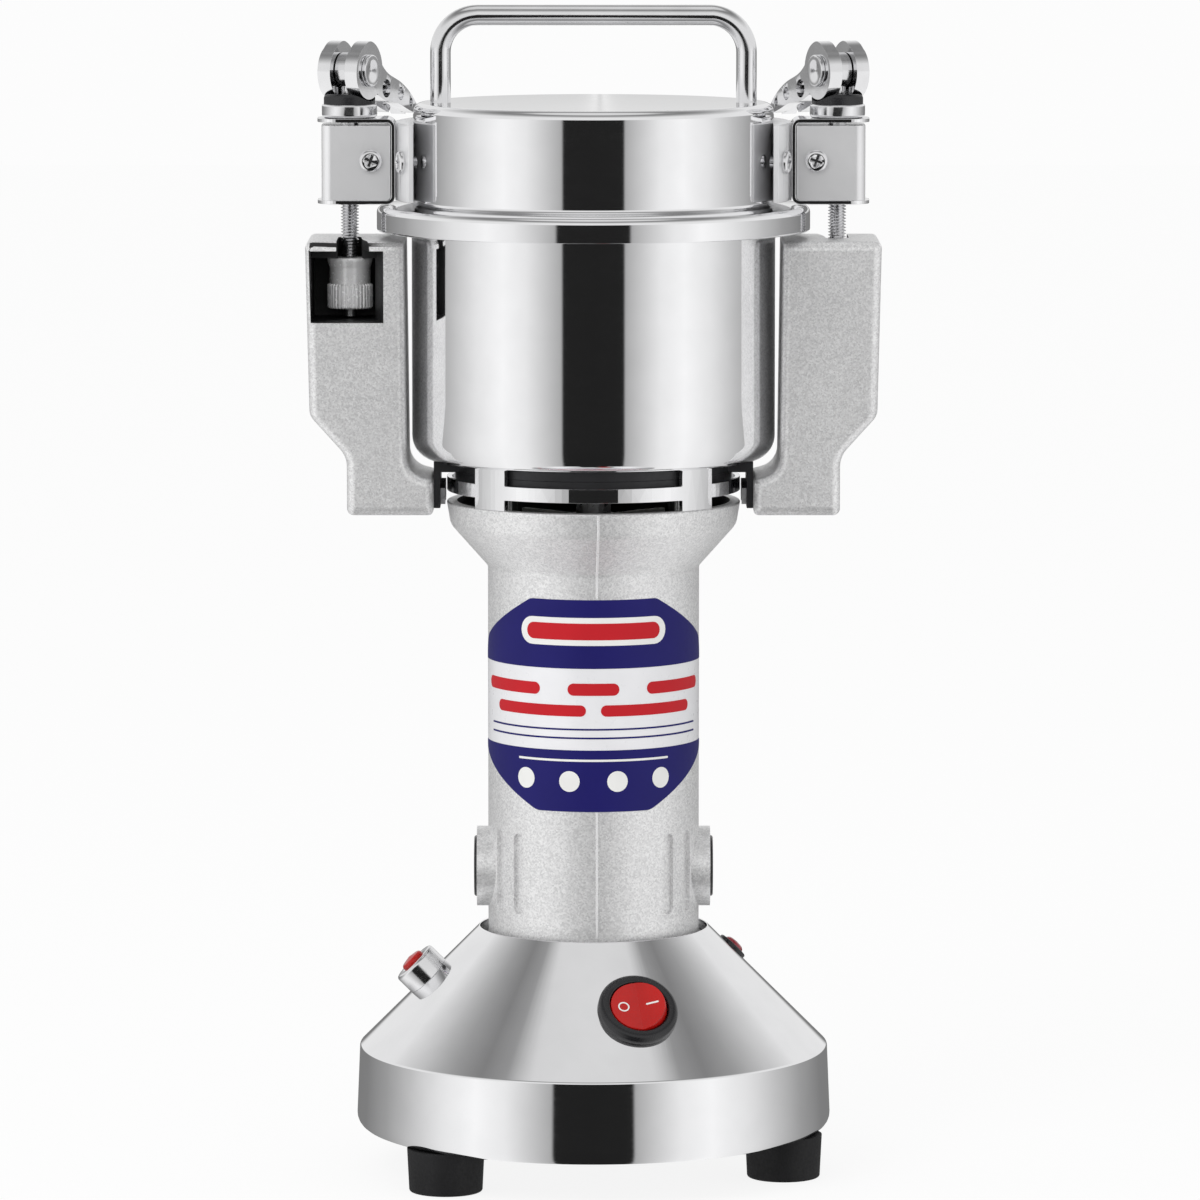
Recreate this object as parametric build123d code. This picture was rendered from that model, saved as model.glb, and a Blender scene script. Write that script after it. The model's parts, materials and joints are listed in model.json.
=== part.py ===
"""Electric grain mill with a turn-to-lock lid and two toggle clamps.

Millimetres. The origin is on the floor under the middle of the base, +Z is up and -Y is the front.
"""
import os
from math import acos, cos, degrees, radians, sin, sqrt

from build123d import *

# --- fits and clearances ---------------------------------------------------------------
running = 0.05  # radial play of a shaft in its bore
sliding = 0.1  # play of a sliding fit, each side
loose = 0.3  # air between pieces that only pass each other
hidden_gap = 0.15  # air between pieces that are held by their screws
through = 400.0  # a cut that goes right through any piece

# --- feet and base ---------------------------------------------------------------------
foot_height = 10.0
foot_top_radius = 8.9
foot_bottom_radius = 8.4
foot_inset = 9.1
foot_angles = (222.7, 342.7, 102.7)
foot_recess_radius = 5.0
foot_recess_depth = 4.5

base_radius = 55.1
base_taper = 0.8
base_edge_level = 29.0
base_lip_level = 57.0
base_lip_gap = 1.9
base_wall = 1.0
base_corner = 3.0
base_curl = 0.6
base_edge_rounding = 0.8
plate_thickness = 1.5
pillar_radius = 4.0
foot_screw_radius = 2.0
foot_screw_head = 4.0
screw_head_height = 2.4

# --- things set into the cone: azimuth is measured from the front towards +X -------------
switch_azimuth = 14.4
switch_radius = 40.4
bezel_radius = 9.2
bezel_height = 2.2
rocker_radius = 6.6
switch_body_radius = 7.8
switch_body_depth = 15.0
rocker_tilt = 10.0
rocker_pivot_height = 0.6
rocker_pin_radius = 0.9
rocker_pin_reach = 7.6

breaker_azimuth = -88.0
breaker_radius = 38.4
breaker_neck_radius = 4.3
breaker_neck_top = 3.9
collar_radius = 5.45
collar_height = 4.9
button_radius = 2.9
button_travel = 1.5
breaker_body_radius = 6.5
breaker_body_depth = 16.0

lamp_azimuth = 105.0
lamp_radius = 33.3
lamp_bezel_radius = 3.7
lamp_bezel_height = 0.8
lens_radius = 2.8
lens_edge_rise = 0.8
lens_rise = 1.1
lens_rounding = 1.4
lamp_barrel_radius = 3.3
lamp_body_depth = 12.0

gland_level = 20.0
gland_bore = 3.2
gland_barrel = 5.0
gland_flange = 7.0

# --- motor pedestal ----------------------------------------------------------------------
pedestal_radius = 24.4
pedestal_wall = 3.0
pedestal_bottom = 53.5
flare_bottom = 140.9
shoulder_level = 150.6
shoulder_set_back = 0.9
rim_level = 156.0
rim_proud = 0.1
boss_level = 70.6
boss_radius = 9.25
boss_reach = 27.0
brush_cap_radius = 7.2
brush_cap_proud = 0.65
brush_cap_seat = 2.0
slot_bottom = 61.8
slot_top = 80.6
slot_width = 3.2
slot_depth = 0.9
slot_azimuths = (45.0, 62.0)

bearing_bore = 4.0
bearing_outer = 11.0
bearing_width = 7.0
lower_bearing_level = 44.5
upper_bearing_level = 129.5
web_thickness = 2.5
bracket_thickness = 2.0

stator_bottom = 88.0
stator_top = 120.0
stator_bore = 12.0
yoke_thickness = 3.6
shoe_thickness = 1.8
pole_half_width = 5.0
pole_gap = 6.5
armature_radius = 11.4
coil_overhang = 5.0
commutator_radius = 8.0
commutator_bottom = 63.5
commutator_top = 77.5
brush_size = 5.0
brush_length = 8.0
brush_holder_size = 8.0
armature_teeth = 12

fan_bottom = 145.5
fan_top = 152.5
fan_room = 9.4
fan_blades = 8

# --- vent ring, cross plate and ears -------------------------------------------------------
jar_bottom = 165.6
ring_inset = 8.0
ring_wall = 1.2
ring_band_bottom = 158.5
ring_band_top = 161.7
ring_post_angle = 16.4
cross_plate_thickness = 2.5
cross_plate_inset = 1.9
cross_arm_half_width = 8.0
cross_tab_thickness = 1.5
cross_tab_bottom = 154.8
ear_bolt_level = 158.0
ear_bolt_spacing = 9.0
ear_bolt_radius = 1.5
ear_bolt_head = 2.6
ear_bolt_head_height = 1.1

ear_bottom = 153.7
ear_top = 216.6
ear_half_depth = 15.0
ear_side_wall = 1.3
ear_waist = 9.4
ear_jar_gap = 0.8
ear_toe_inset = 5.1
ear_toe_top = 162.0
window_bottom = 198.0
window_top = 214.4
nut_seat_level = 212.3  # underside of the ceiling that the nut pulls against
nut_seat_front = 6.5
rod_slot_room = 0.65
window_side_room = 3.35
window_back_room = 3.25
ear_rounding = 2.2
ear_shoulder_level = 176.6
ear_waist_level = 167.2
ear_inner_lean = 0.6
ear_outer_lean = 0.9
ear_toe_rise = 1.5
ear_edge_round = 1.2
ear_toe_round = 1.0
ear_inner_bend = 5.0
ear_top_round = 1.6
ear_shoulder_bend = 4.0
ear_waist_bend = 6.0

# --- jar, seal and blades ------------------------------------------------------------------
jar_radius = 41.8
jar_wall = 1.2
jar_corner = 5.5
jar_flange = 6.0
jar_screw_inset = 5.4
jar_screw_radius = 1.75
jar_screw_head = 3.4
jar_boss_radius = 2.8
seal_radius = 9.0
seal_flange = 11.0
seal_flange_height = 1.2
spacer_radius = 7.0
lower_spacer_height = 4.0
upper_spacer_height = 4.5
blade_thickness = 1.6
blade_tip_room = 6.8
upper_blade_inset = 5.0
blade_width = 13.0
blade_nut_flats = 12.0
blade_nut_height = 6.0

# --- lid and handle -------------------------------------------------------------------------
lid_inset = 0.4
lid_top = 247.6
lid_wall = 1.2
lid_corner = 2.0
skirt_room = 2.0
skirt_top = 224.0
skirt_bottom = 218.4
lid_foot_level = 224.5
gasket_thickness = 2.0

handle_inset = 6.3
handle_bar_radius = 2.35
handle_top = 270.0
handle_bend = 8.5
handle_nut_radius = 4.6
handle_nut_height = 3.2

# --- clamps: built for the left side (-X) and mirrored for the right --------------------------
rod_standoff = 6.2
rod_radius = 2.05
stud_radius = 1.6
rod_drop = 0.7
lever_open = 110.0
lever_skew = 25.5

lug_thickness = 4.0
lug_bottom = 225.5
lug_top = 243.3
lug_half_angle = 22.0
lug_weld_angle = 8.0
lug_screw_angle = 16.0
channel_bottom = 224.6
channel_top = 244.2
channel_sheet = 0.9
channel_half_depth = 7.0
channel_end_room = 7.3
block_inset = 1.0
block_top_gap = 0.7
block_screw_offset = 5.0
block_screw_level = 234.6
small_screw_radius = 1.5
small_screw_head = 2.6
small_screw_head_height = 1.2

cup_radius = 6.35
cup_height = 3.1
seat_radius = 5.9
seat_height = 2.4
seat_groove_depth = 1.7
seat_relief_start = 3.7
cam_radius = 6.95
cam_play = 0.15
cam_run_out = 35.0
cam_points = 36
cheek_thickness = 3.2
cheek_pitch = 6.9
eye_radius = 4.1
eye_thickness = 3.2
pivot_radius = 2.0
pivot_head_radius = 3.7
pivot_head_height = 0.9
arm_points_top = ((4.6, 4.2), (6.6, 1.2), (9.6, -0.9), (15.0, -2.8), (20.0, -5.3), (24.6, -9.2))
arm_points_bottom = ((23.4, -10.7), (18.5, -9.3), (14.0, -7.9), (9.0, -7.3), (6.0, -6.3), (3.6, -5.0))
arm_holes = ((8.9, -4.4, 2.1), (16.1, -5.9, 1.5), (21.3, -8.1, 0.9))
arm_web_thickness = 1.6
arm_web_inset = 0.3

nut_bottom = 200.4
nut_radius = 5.25
nut_head_room = 0.2
nut_knurl_height = 5.7
nut_smooth_height = 3.6
nut_smooth_radius = 4.75

# --- derived levels ---------------------------------------------------------------------------
ring_radius = jar_radius - ring_inset
rim_radius = ring_radius + rim_proud
shoulder_radius = rim_radius - shoulder_set_back
cross_plate_radius = ring_radius - cross_plate_inset
jar_screw_circle = ring_radius - jar_screw_inset
fan_radius = shoulder_radius - fan_room
brush_cap_reach = boss_reach + brush_cap_proud
jar_rim_radius = jar_radius + jar_flange
lower_blade_reach = jar_radius - blade_tip_room
upper_blade_reach = lower_blade_reach - upper_blade_inset
lid_radius = jar_radius - lid_inset
skirt_radius = jar_rim_radius + skirt_room
handle_x = lid_radius - handle_inset
rod_x = skirt_radius + rod_standoff
base_edge_radius = base_radius - base_taper
base_lip_radius = pedestal_radius + base_lip_gap
cone_run = base_edge_radius - base_lip_radius
cone_slope = (base_lip_level - base_edge_level) / cone_run  # rise of the cone for each millimetre inwards
cone_normal = (cone_slope / sqrt(1 + cone_slope**2), 1 / sqrt(1 + cone_slope**2))
cone_drop = base_wall / cone_normal[1]  # the wall, measured straight down
foot_circle = base_radius - foot_inset
plate_top = foot_height + plate_thickness
base_mouth = base_radius - base_corner - base_curl
base_inner_edge = base_edge_radius - base_wall
housing_inner = pedestal_radius - pedestal_wall
bracket_bottom = pedestal_bottom - bracket_thickness
cross_plate_bottom = jar_bottom - cross_plate_thickness
jar_floor_top = jar_bottom + jar_wall
seal_top = jar_floor_top + seal_flange_height
lower_blade_level = seal_top + loose + lower_spacer_height
upper_spacer_level = lower_blade_level + blade_thickness
upper_blade_level = upper_spacer_level + upper_spacer_height
blade_nut_level = upper_blade_level + blade_thickness
shaft_top = blade_nut_level + blade_nut_height - 1.0
shaft_bottom = lower_bearing_level - 0.5
lid_step_level = skirt_top - lid_wall
gasket_bottom = lid_step_level - gasket_thickness
jar_rim_level = gasket_bottom - running - jar_wall
pivot_level = channel_top + cup_height + seat_height - seat_groove_depth + cam_radius
cheek_outer = (cheek_pitch + cheek_thickness) / 2
cheek_inner = (cheek_pitch - cheek_thickness) / 2
nut_top = nut_seat_level - nut_head_room
stud_bottom = window_bottom + loose
window_outer = rod_x + nut_radius + window_side_room
window_back = nut_radius + window_back_room
ear_outer_top = window_outer + ear_side_wall
ear_outer_bottom = ear_outer_top - ear_waist
ear_inner = jar_radius + ear_jar_gap
ear_toe = jar_radius - ear_toe_inset
lug_outer = lid_radius + lug_thickness
channel_reach = rod_x + channel_end_room
block_reach = channel_reach - block_inset
block_screw_x = rod_x - block_screw_offset
tiny = 0.01


def export(shape, name):
    export_step(shape, f"parts/{name}.step")


def outline(*points):
    """Closed face from (x, y) or (x, y, corner radius) points."""
    corners = [(p[0], p[1]) for p in points]
    radii = [p[2] if len(p) > 2 else 0 for p in points]
    return make_face(FilletPolyline(*corners, radius=radii, close=True))


def turned(*points):
    """Solid of revolution about Z from (radius, level) or (radius, level, corner radius) points."""
    return revolve(Plane.XZ * outline(*points), Axis.Z)


def tube(outer, inner, bottom, top):
    return turned((inner, bottom), (outer, bottom), (outer, top), (inner, top))


def disc(radius, bottom, top):
    return Pos(0, 0, bottom) * Cylinder(radius, top - bottom, align=(Align.CENTER, Align.CENTER, Align.MIN))


def block(x_range, y_range, z_range):
    size = [high - low for low, high in (x_range, y_range, z_range)]
    centre = [(high + low) / 2 for low, high in (x_range, y_range, z_range)]
    return Pos(*centre) * Box(*size)


def group(solids):
    """Separate solids that share one node."""
    return Compound(children=[Compound(s) if not isinstance(s, Solid) else s for s in _flat(solids)])


def _flat(shapes):
    return [solid for shape in shapes for solid in shape.solids()]


def round_about(angle, shape):
    return Rot(0, 0, angle) * shape


def cone_level(radius):
    """Height of the cone's outside at a radius."""
    return base_edge_level + (base_edge_radius - radius) * cone_slope


def cone_radius(level):
    """Radius of the cone's inside at a height."""
    return base_edge_radius - (level + cone_drop - base_edge_level) / cone_slope


def cone_frame(azimuth, radius):
    """Plane on the cone: x to the right, y up the slope and z out of the surface."""
    side = radians(azimuth)
    out, up = cone_normal
    point = (radius * sin(side), -radius * cos(side), cone_level(radius))
    normal = (sin(side) * out, -cos(side) * out, up)
    return Plane(origin=point, x_dir=(cos(side), sin(side), 0), z_dir=normal)


def solid_cone():
    """Everything under the outside of the base shell."""
    return turned((0, foot_height), (base_radius, foot_height, base_corner),
                  (base_edge_radius, base_edge_level), (base_lip_radius, base_lip_level),
                  (0, base_lip_level))


def cone_inside():
    """The room inside the base shell."""
    lip = base_lip_level - cone_drop
    return turned((0, plate_top), (base_radius - base_wall, plate_top),
                  (base_inner_edge, cone_level(base_inner_edge) - cone_drop), (base_lip_radius, lip),
                  (0, lip))


# --- base -----------------------------------------------------------------------------------------
def base_shell():
    wall = base_wall
    shell = turned(
        (base_mouth, foot_height), (base_radius, foot_height, base_corner),
        (base_edge_radius, base_edge_level, base_edge_rounding),
        (base_lip_radius, base_lip_level), (base_lip_radius, base_lip_level - cone_drop),
        (base_inner_edge, cone_level(base_inner_edge) - cone_drop, base_edge_rounding - wall / 2),
        (base_radius - wall, foot_height + wall, base_corner - wall),
        (base_mouth, foot_height + wall))
    shell -= cone_frame(switch_azimuth, switch_radius) * Cylinder(switch_body_radius + hidden_gap, 12)
    shell -= cone_frame(breaker_azimuth, breaker_radius) * Cylinder(breaker_neck_radius + hidden_gap, 12)
    shell -= cone_frame(lamp_azimuth, lamp_radius) * Cylinder(lamp_barrel_radius + hidden_gap, 12)
    shell -= Pos(0, base_radius, gland_level) * Rot(90, 0, 0) * Cylinder(gland_barrel + hidden_gap, 12)
    return shell


def on_foot_circle(shape):
    return [round_about(angle, Pos(foot_circle, 0, 0) * shape) for angle in foot_angles]


def base_plate():
    plate = disc(base_mouth - hidden_gap, foot_height, plate_top)
    for hole in on_foot_circle(disc(foot_screw_radius + hidden_gap, foot_height - 1, plate_top + 1)):
        plate -= hole
    return plate


def rubber_feet():
    foot = turned((foot_screw_radius + hidden_gap, foot_recess_depth),
                  (foot_recess_radius, foot_recess_depth),
                  (foot_recess_radius, 0), (foot_bottom_radius, 0, 0.6), (foot_top_radius, foot_height),
                  (foot_screw_radius + hidden_gap, foot_height))
    return group(on_foot_circle(foot))


def foot_screws():
    screw = turned((0, foot_recess_depth - screw_head_height),
                   (foot_screw_head, foot_recess_depth - screw_head_height, 0.8),
                   (foot_screw_head, foot_recess_depth), (foot_screw_radius, foot_recess_depth),
                   (foot_screw_radius, plate_top + 8), (0, plate_top + 8))
    return group(on_foot_circle(screw))


def base_pillars():
    pillar = disc(pillar_radius, plate_top, base_edge_level + pedestal_radius)
    pillar -= disc(foot_screw_radius, plate_top, plate_top + 8)
    return group([solid & cone_inside() for solid in on_foot_circle(pillar)])


def rocker_bezel():
    flange = turned((rocker_radius + hidden_gap, -base_wall), (bezel_radius, -base_wall),
                    (bezel_radius, bezel_height, 1.4), (rocker_radius + hidden_gap, bezel_height, 0.4))
    place = cone_frame(switch_azimuth, switch_radius)
    body = disc(switch_body_radius, -switch_body_depth, 0.5) - disc(rocker_radius + hidden_gap, -7.5, 1.0)
    pin_hole = rocker_pin(rocker_pin_radius + running, rocker_pin_reach + sliding)
    return place * flange - solid_cone() + place * body - place * Pos(0, 0, rocker_pivot_height) * pin_hole


def rocker_pin(radius, reach):
    return Rot(90, 0, 0) * Cylinder(radius, 2 * reach)


def rocker_button():
    """Dished rocker on two pins, turned to its off position with its left end pressed."""
    cap = outline((-rocker_radius, -4.0), (rocker_radius, -4.0), (rocker_radius, 2.6, 0.6),
                  (0, 1.5), (-rocker_radius, 2.6, 0.6))
    slab = extrude(Plane.XZ * cap, amount=rocker_radius, both=True)
    rocker = (slab & Sphere(rocker_radius)) + rocker_pin(rocker_pin_radius, rocker_pin_reach)
    pivot = cone_frame(switch_azimuth, switch_radius) * Pos(0, 0, rocker_pivot_height)
    return pivot * Rot(0, -rocker_tilt, 0) * rocker


def breaker_collar():
    ring = turned((breaker_neck_radius, -base_wall), (collar_radius, -base_wall),
                  (collar_radius, collar_height, 0.7),
                  (button_radius + sliding, collar_height, 0.4), (button_radius + sliding, breaker_neck_top),
                  (breaker_neck_radius, breaker_neck_top))
    return cone_frame(breaker_azimuth, breaker_radius) * ring - solid_cone()


def breaker_body():
    neck = tube(breaker_neck_radius, button_radius + sliding, -4.0, breaker_neck_top)
    body = turned((0, -breaker_body_depth), (breaker_body_radius, -breaker_body_depth, 0.8),
                  (breaker_body_radius, -4.0), (button_radius + sliding, -4.0),
                  (button_radius + sliding, -5.5),
                  (0, -5.5))
    return cone_frame(breaker_azimuth, breaker_radius) * (body + neck)


def reset_button():
    low = -5.5 + button_travel + loose
    button = turned((0, low), (button_radius, low), (button_radius, collar_height + 0.9, 0.9),
                    (0, collar_height + 1.5))
    return cone_frame(breaker_azimuth, breaker_radius) * button


def pilot_lamp_bezel():
    ring = turned((lens_radius, -base_wall), (lamp_bezel_radius, -base_wall),
                  (lamp_bezel_radius, lamp_bezel_height, 0.4), (lens_radius, lamp_bezel_height))
    place = cone_frame(lamp_azimuth, lamp_radius)
    body = turned((0, -lamp_body_depth), (lamp_barrel_radius, -lamp_body_depth), (lamp_barrel_radius, 0.3),
                  (lens_radius, 0.3), (lens_radius, -base_wall), (lens_radius - 0.8, -base_wall),
                  (lens_radius - 0.8, 1 - lamp_body_depth), (0, 1 - lamp_body_depth))
    return place * ring - solid_cone() + place * body


def pilot_lamp_lens():
    lens = turned((0, -base_wall + 0.1), (lens_radius - hidden_gap, -base_wall + 0.1),
                  (lens_radius - hidden_gap, lamp_bezel_height + lens_edge_rise, lens_rounding),
                  (0, lamp_bezel_height + lens_rise))
    return cone_frame(lamp_azimuth, lamp_radius) * lens


def cord_gland():
    profile = turned((gland_bore, -5.0), (gland_barrel, -5.0), (gland_barrel, 0), (gland_flange, 0),
                     (gland_flange, 2.6, 0.9), (gland_bore, 2.6, 0.6))
    bush = Pos(0, base_radius - base_wall / 2, gland_level) * Rot(-90, 0, 0) * profile
    return bush - (solid_cone() & block((-gland_flange, gland_flange), (gland_flange, base_radius + 9),
                                        (gland_level - gland_flange, gland_level + gland_flange))
                   - Pos(0, base_radius, gland_level) * Rot(90, 0, 0) * Cylinder(gland_barrel, 14))


# --- motor ----------------------------------------------------------------------------------------
def bearing_bracket():
    seat_top = lower_bearing_level + bearing_width
    plate = turned((0, bracket_bottom), (cone_radius(bracket_bottom), bracket_bottom),
                   (cone_radius(pedestal_bottom), pedestal_bottom), (0, pedestal_bottom))
    hub = disc(bearing_outer + 2.5, lower_bearing_level - 2.0, bracket_bottom)
    plate = plate + hub - disc(bearing_outer, lower_bearing_level, pedestal_bottom + 1)
    plate -= disc(bearing_outer - 2, lower_bearing_level - 3, seat_top)
    for solid in _housing_screw_set(disc(jar_screw_radius + hidden_gap, bracket_bottom - 1,
                                         pedestal_bottom + 1)):
        plate -= solid
    return plate


def _housing_screw_set(shape):
    return [round_about(angle, Pos(housing_inner - 3.0, 0, 0) * shape) for angle in (45, 135, 225, 315)]


def housing_screws():
    screw = turned((0, bracket_bottom - screw_head_height),
                   (jar_screw_head, bracket_bottom - screw_head_height, 0.8),
                   (jar_screw_head, bracket_bottom), (jar_screw_radius, bracket_bottom),
                   (jar_screw_radius, pedestal_bottom + 8), (0, pedestal_bottom + 8))
    return group(_housing_screw_set(screw))


def motor_housing():
    wall = pedestal_wall
    web_bottom = upper_bearing_level - 0.5
    body = turned(
        (housing_inner, pedestal_bottom), (pedestal_radius, pedestal_bottom),
        (pedestal_radius, flare_bottom, 1.2),
        (shoulder_radius, shoulder_level, 4.0), (rim_radius, rim_level, 0.4),
        (rim_radius - wall + 0.6, rim_level), (shoulder_radius - wall - 0.4, shoulder_level, 3.0),
        (housing_inner, flare_bottom + 1.0, 2.0))
    web = tube(housing_inner + tiny, bearing_bore + 2.0, web_bottom - web_thickness, web_bottom)
    seat = tube(bearing_outer + 2.5, bearing_outer, web_bottom - tiny, upper_bearing_level + bearing_width)
    body += web + seat
    for angle in range(0, 360, 60):
        body -= round_about(angle, Pos(housing_inner - 4.0, 0, web_bottom) * Cylinder(2.4,
                                                                                      3 * web_thickness))
    for solid in _housing_screw_set(disc(3.4, pedestal_bottom, pedestal_bottom + 12)
                                    - disc(jar_screw_radius, pedestal_bottom - 1, pedestal_bottom + 8)):
        body += solid
    for side in (-1, 1):
        boss = Pos(side * boss_reach / 2, 0, boss_level) * Rot(0, 90, 0) * Cylinder(boss_radius, boss_reach)
        body += boss - disc(housing_inner, pedestal_bottom, web_bottom)
    across = Pos(0, 0, boss_level) * Rot(0, 90, 0)
    seat = boss_reach - brush_cap_seat
    body -= across * Cylinder(brush_holder_size / 2 * sqrt(2) + hidden_gap, through)
    for side in (-1, 1):
        body -= across * Pos(0, 0, side * (seat + boss_reach / 2)) * Cylinder(brush_cap_radius, boss_reach)
    for solid in _jar_screw_set(disc(jar_boss_radius, shoulder_level - 1.5, cross_plate_bottom)
                                - disc(jar_screw_radius, cross_plate_bottom - 8, cross_plate_bottom + 1)):
        body += solid
    for azimuth in slot_azimuths:
        for side in (-1, 1):
            body -= round_about(side * azimuth, _housing_slot())
    return body


def _housing_slot():
    """Blind upright slot in the front of the pedestal."""
    height = slot_top - slot_bottom
    face = Plane.XZ * SlotOverall(height, slot_width, rotation=90)
    cut = Pos(0, -pedestal_radius - 1, (slot_top + slot_bottom) / 2) * extrude(face, amount=-1 - slot_depth)
    return cut


def _jar_screw_set(shape):
    return [round_about(angle, Pos(jar_screw_circle, 0, 0) * shape) for angle in (45, 135, 225, 315)]


def bearing(level):
    return tube(bearing_outer, bearing_bore + running, level, level + bearing_width)


def stator_core():
    core = tube(housing_inner - running, housing_inner - yoke_thickness, stator_bottom, stator_top)
    shoe = tube(stator_bore + shoe_thickness, stator_bore, stator_bottom, stator_top)
    neck = block((-pole_half_width, pole_half_width), (-housing_inner + 1, housing_inner - 1),
                 (stator_bottom, stator_top))
    neck -= disc(stator_bore, stator_bottom - 1, stator_top + 1)
    gap = block((-through, through), (-pole_gap, pole_gap), (stator_bottom - 1, stator_top + 1))
    return core + (shoe - gap) + neck


def field_coils():
    low, high = stator_bottom - coil_overhang, stator_top + coil_overhang
    ring = tube(housing_inner - yoke_thickness - hidden_gap, stator_bore + shoe_thickness + hidden_gap, low,
                high)
    ring -= block((-through, through), (-pole_gap, pole_gap), (low - 1, high + 1))
    room = pole_half_width + hidden_gap
    ring -= block((-room, room), (-through, through), (stator_bottom - hidden_gap, stator_top + hidden_gap))
    return group(ring.solids())


def motor_shaft():
    bore = bearing_bore
    return turned((0, shaft_bottom), (bore, shaft_bottom, 0.4), (bore, shaft_top, 0.4), (0, shaft_top))


def armature_core():
    core = tube(armature_radius, bearing_bore, stator_bottom, stator_top)
    for step in range(armature_teeth):
        slot = block((armature_radius - 3.2, armature_radius + 1), (-0.9, 0.9),
                     (stator_bottom - 1, stator_top + 1))
        core -= round_about(step * 360 / armature_teeth, slot)
    return core


def armature_windings():
    lower = turned((bearing_bore, stator_bottom - coil_overhang), (9.4, stator_bottom - coil_overhang, 2.0),
                   (armature_radius - 0.8, stator_bottom), (bearing_bore, stator_bottom))
    upper = turned((bearing_bore, stator_top), (armature_radius - 0.8, stator_top),
                   (9.4, stator_top + coil_overhang, 2.0), (bearing_bore, stator_top + coil_overhang))
    return group([lower, upper])


def commutator():
    return turned((bearing_bore, commutator_bottom), (commutator_radius, commutator_bottom),
                  (commutator_radius, commutator_top), (commutator_radius + 1.6, commutator_top),
                  (commutator_radius + 1.6, commutator_top + 2.4), (bearing_bore, commutator_top + 2.4))


def brush_start():
    return commutator_radius + loose


def both_sides(shape):
    """The shape at +X and its twin at -X."""
    return group([shape, mirror(shape, Plane.YZ)])


def carbon_brushes():
    half = brush_size / 2
    start = brush_start()
    brush = block((start, start + brush_length), (-half, half), (boss_level - half, boss_level + half))
    return both_sides(brush - disc(start, boss_level - 9, boss_level + 9))


def brush_holders():
    half = brush_holder_size / 2
    inner = brush_size / 2 + sliding
    start = commutator_radius + 2.6
    end = boss_reach - brush_cap_seat
    holder = block((start, end), (-half, half), (boss_level - half, boss_level + half))
    holder -= block((start - 1, end + 1), (-inner, inner), (boss_level - inner, boss_level + inner))
    return both_sides(holder)


def brush_springs():
    start = brush_start() + brush_length
    turns = boss_reach - brush_cap_seat - start
    coil = Pos(start + turns / 2, 0, boss_level) * Rot(0, 90, 0) * (
        Cylinder(brush_size / 2 - 0.2, turns) - Cylinder(brush_size / 2 - 1.0, turns))
    return both_sides(coil)


def brush_caps():
    seat = boss_reach - brush_cap_seat
    cap = turned((0, seat), (brush_cap_radius - hidden_gap, seat),
                 (brush_cap_radius - hidden_gap, brush_cap_reach, 0.5), (0, brush_cap_reach))
    cap -= block((-brush_cap_radius + 2, brush_cap_radius - 2), (-0.7, 0.7),
                 (brush_cap_reach - 1.0, brush_cap_reach + 1))
    return both_sides(Pos(0, 0, boss_level) * Rot(0, 90, 0) * cap)


def cooling_fan():
    fan = tube(bearing_bore + 3.5, bearing_bore, fan_bottom, fan_top)
    fan += tube(fan_radius, bearing_bore, fan_bottom, fan_bottom + 1.4)
    blade = block((bearing_bore + 3, fan_radius - 0.6), (-0.6, 0.6), (fan_bottom + 1, fan_top))
    for step in range(fan_blades):
        fan += round_about(step * 360 / fan_blades, blade)
    return fan


# --- vent ring, cross plate and ears ---------------------------------------------------------------
def vent_ring():
    ring = tube(ring_radius, ring_radius - ring_wall, rim_level, jar_bottom)
    open_half = (90 - ring_post_angle) / 2
    for low, high in ((rim_level - 1, ring_band_bottom), (ring_band_top, jar_bottom + 1)):
        for turn in range(0, 360, 90):
            ring -= round_about(turn, wedge(open_half, low, high))
    return ring


def wedge(half_angle, low, high):
    reach = ring_radius + 8
    side = reach * sin(radians(half_angle))
    front = reach * cos(radians(half_angle))
    face = outline((0, 0), (front, -side), (reach * 1.2, 0), (front, side))
    return Pos(0, 0, low) * extrude(face, amount=high - low)


def cross_plate():
    """Black steel plate under the jar, with an arm to each ear bent down into a tab."""
    half = cross_arm_half_width
    plate = disc(cross_plate_radius, cross_plate_bottom, jar_bottom)
    plate += block((-ear_toe + tiny, ear_toe - tiny), (-half, half), (cross_plate_bottom, jar_bottom))
    for side in (-1, 1):
        x_range = sorted((side * (ear_toe - cross_tab_thickness), side * ear_toe))
        plate += block(x_range, (-half, half), (cross_tab_bottom, jar_bottom))
        for y in (-ear_bolt_spacing / 2, ear_bolt_spacing / 2):
            plate -= Pos(side * ear_toe, y, ear_bolt_level) * Rot(0, 90,
                                                                  0) * Cylinder(ear_bolt_radius + 0.1, 8)
    plate -= disc(seal_radius, cross_plate_bottom - 1, jar_bottom + 1)
    for hole in _jar_screw_set(disc(jar_screw_radius + 0.1, cross_plate_bottom - 1, jar_bottom + 1)):
        plate -= hole
    return plate


def ear_bolts():
    start = ear_toe - cross_tab_thickness
    bolts = []
    for side in (-1, 1):
        for y in (-ear_bolt_spacing / 2, ear_bolt_spacing / 2):
            bolt = disc(ear_bolt_radius, 0, 9) + Pos(0, 0, -ear_bolt_head_height) * extrude(
                RegularPolygon(ear_bolt_head, 6), amount=ear_bolt_head_height)
            bolts.append(Pos(side * start, y, ear_bolt_level) * Rot(0, 90 * side, 0) * bolt)
    return group(bolts)


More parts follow.
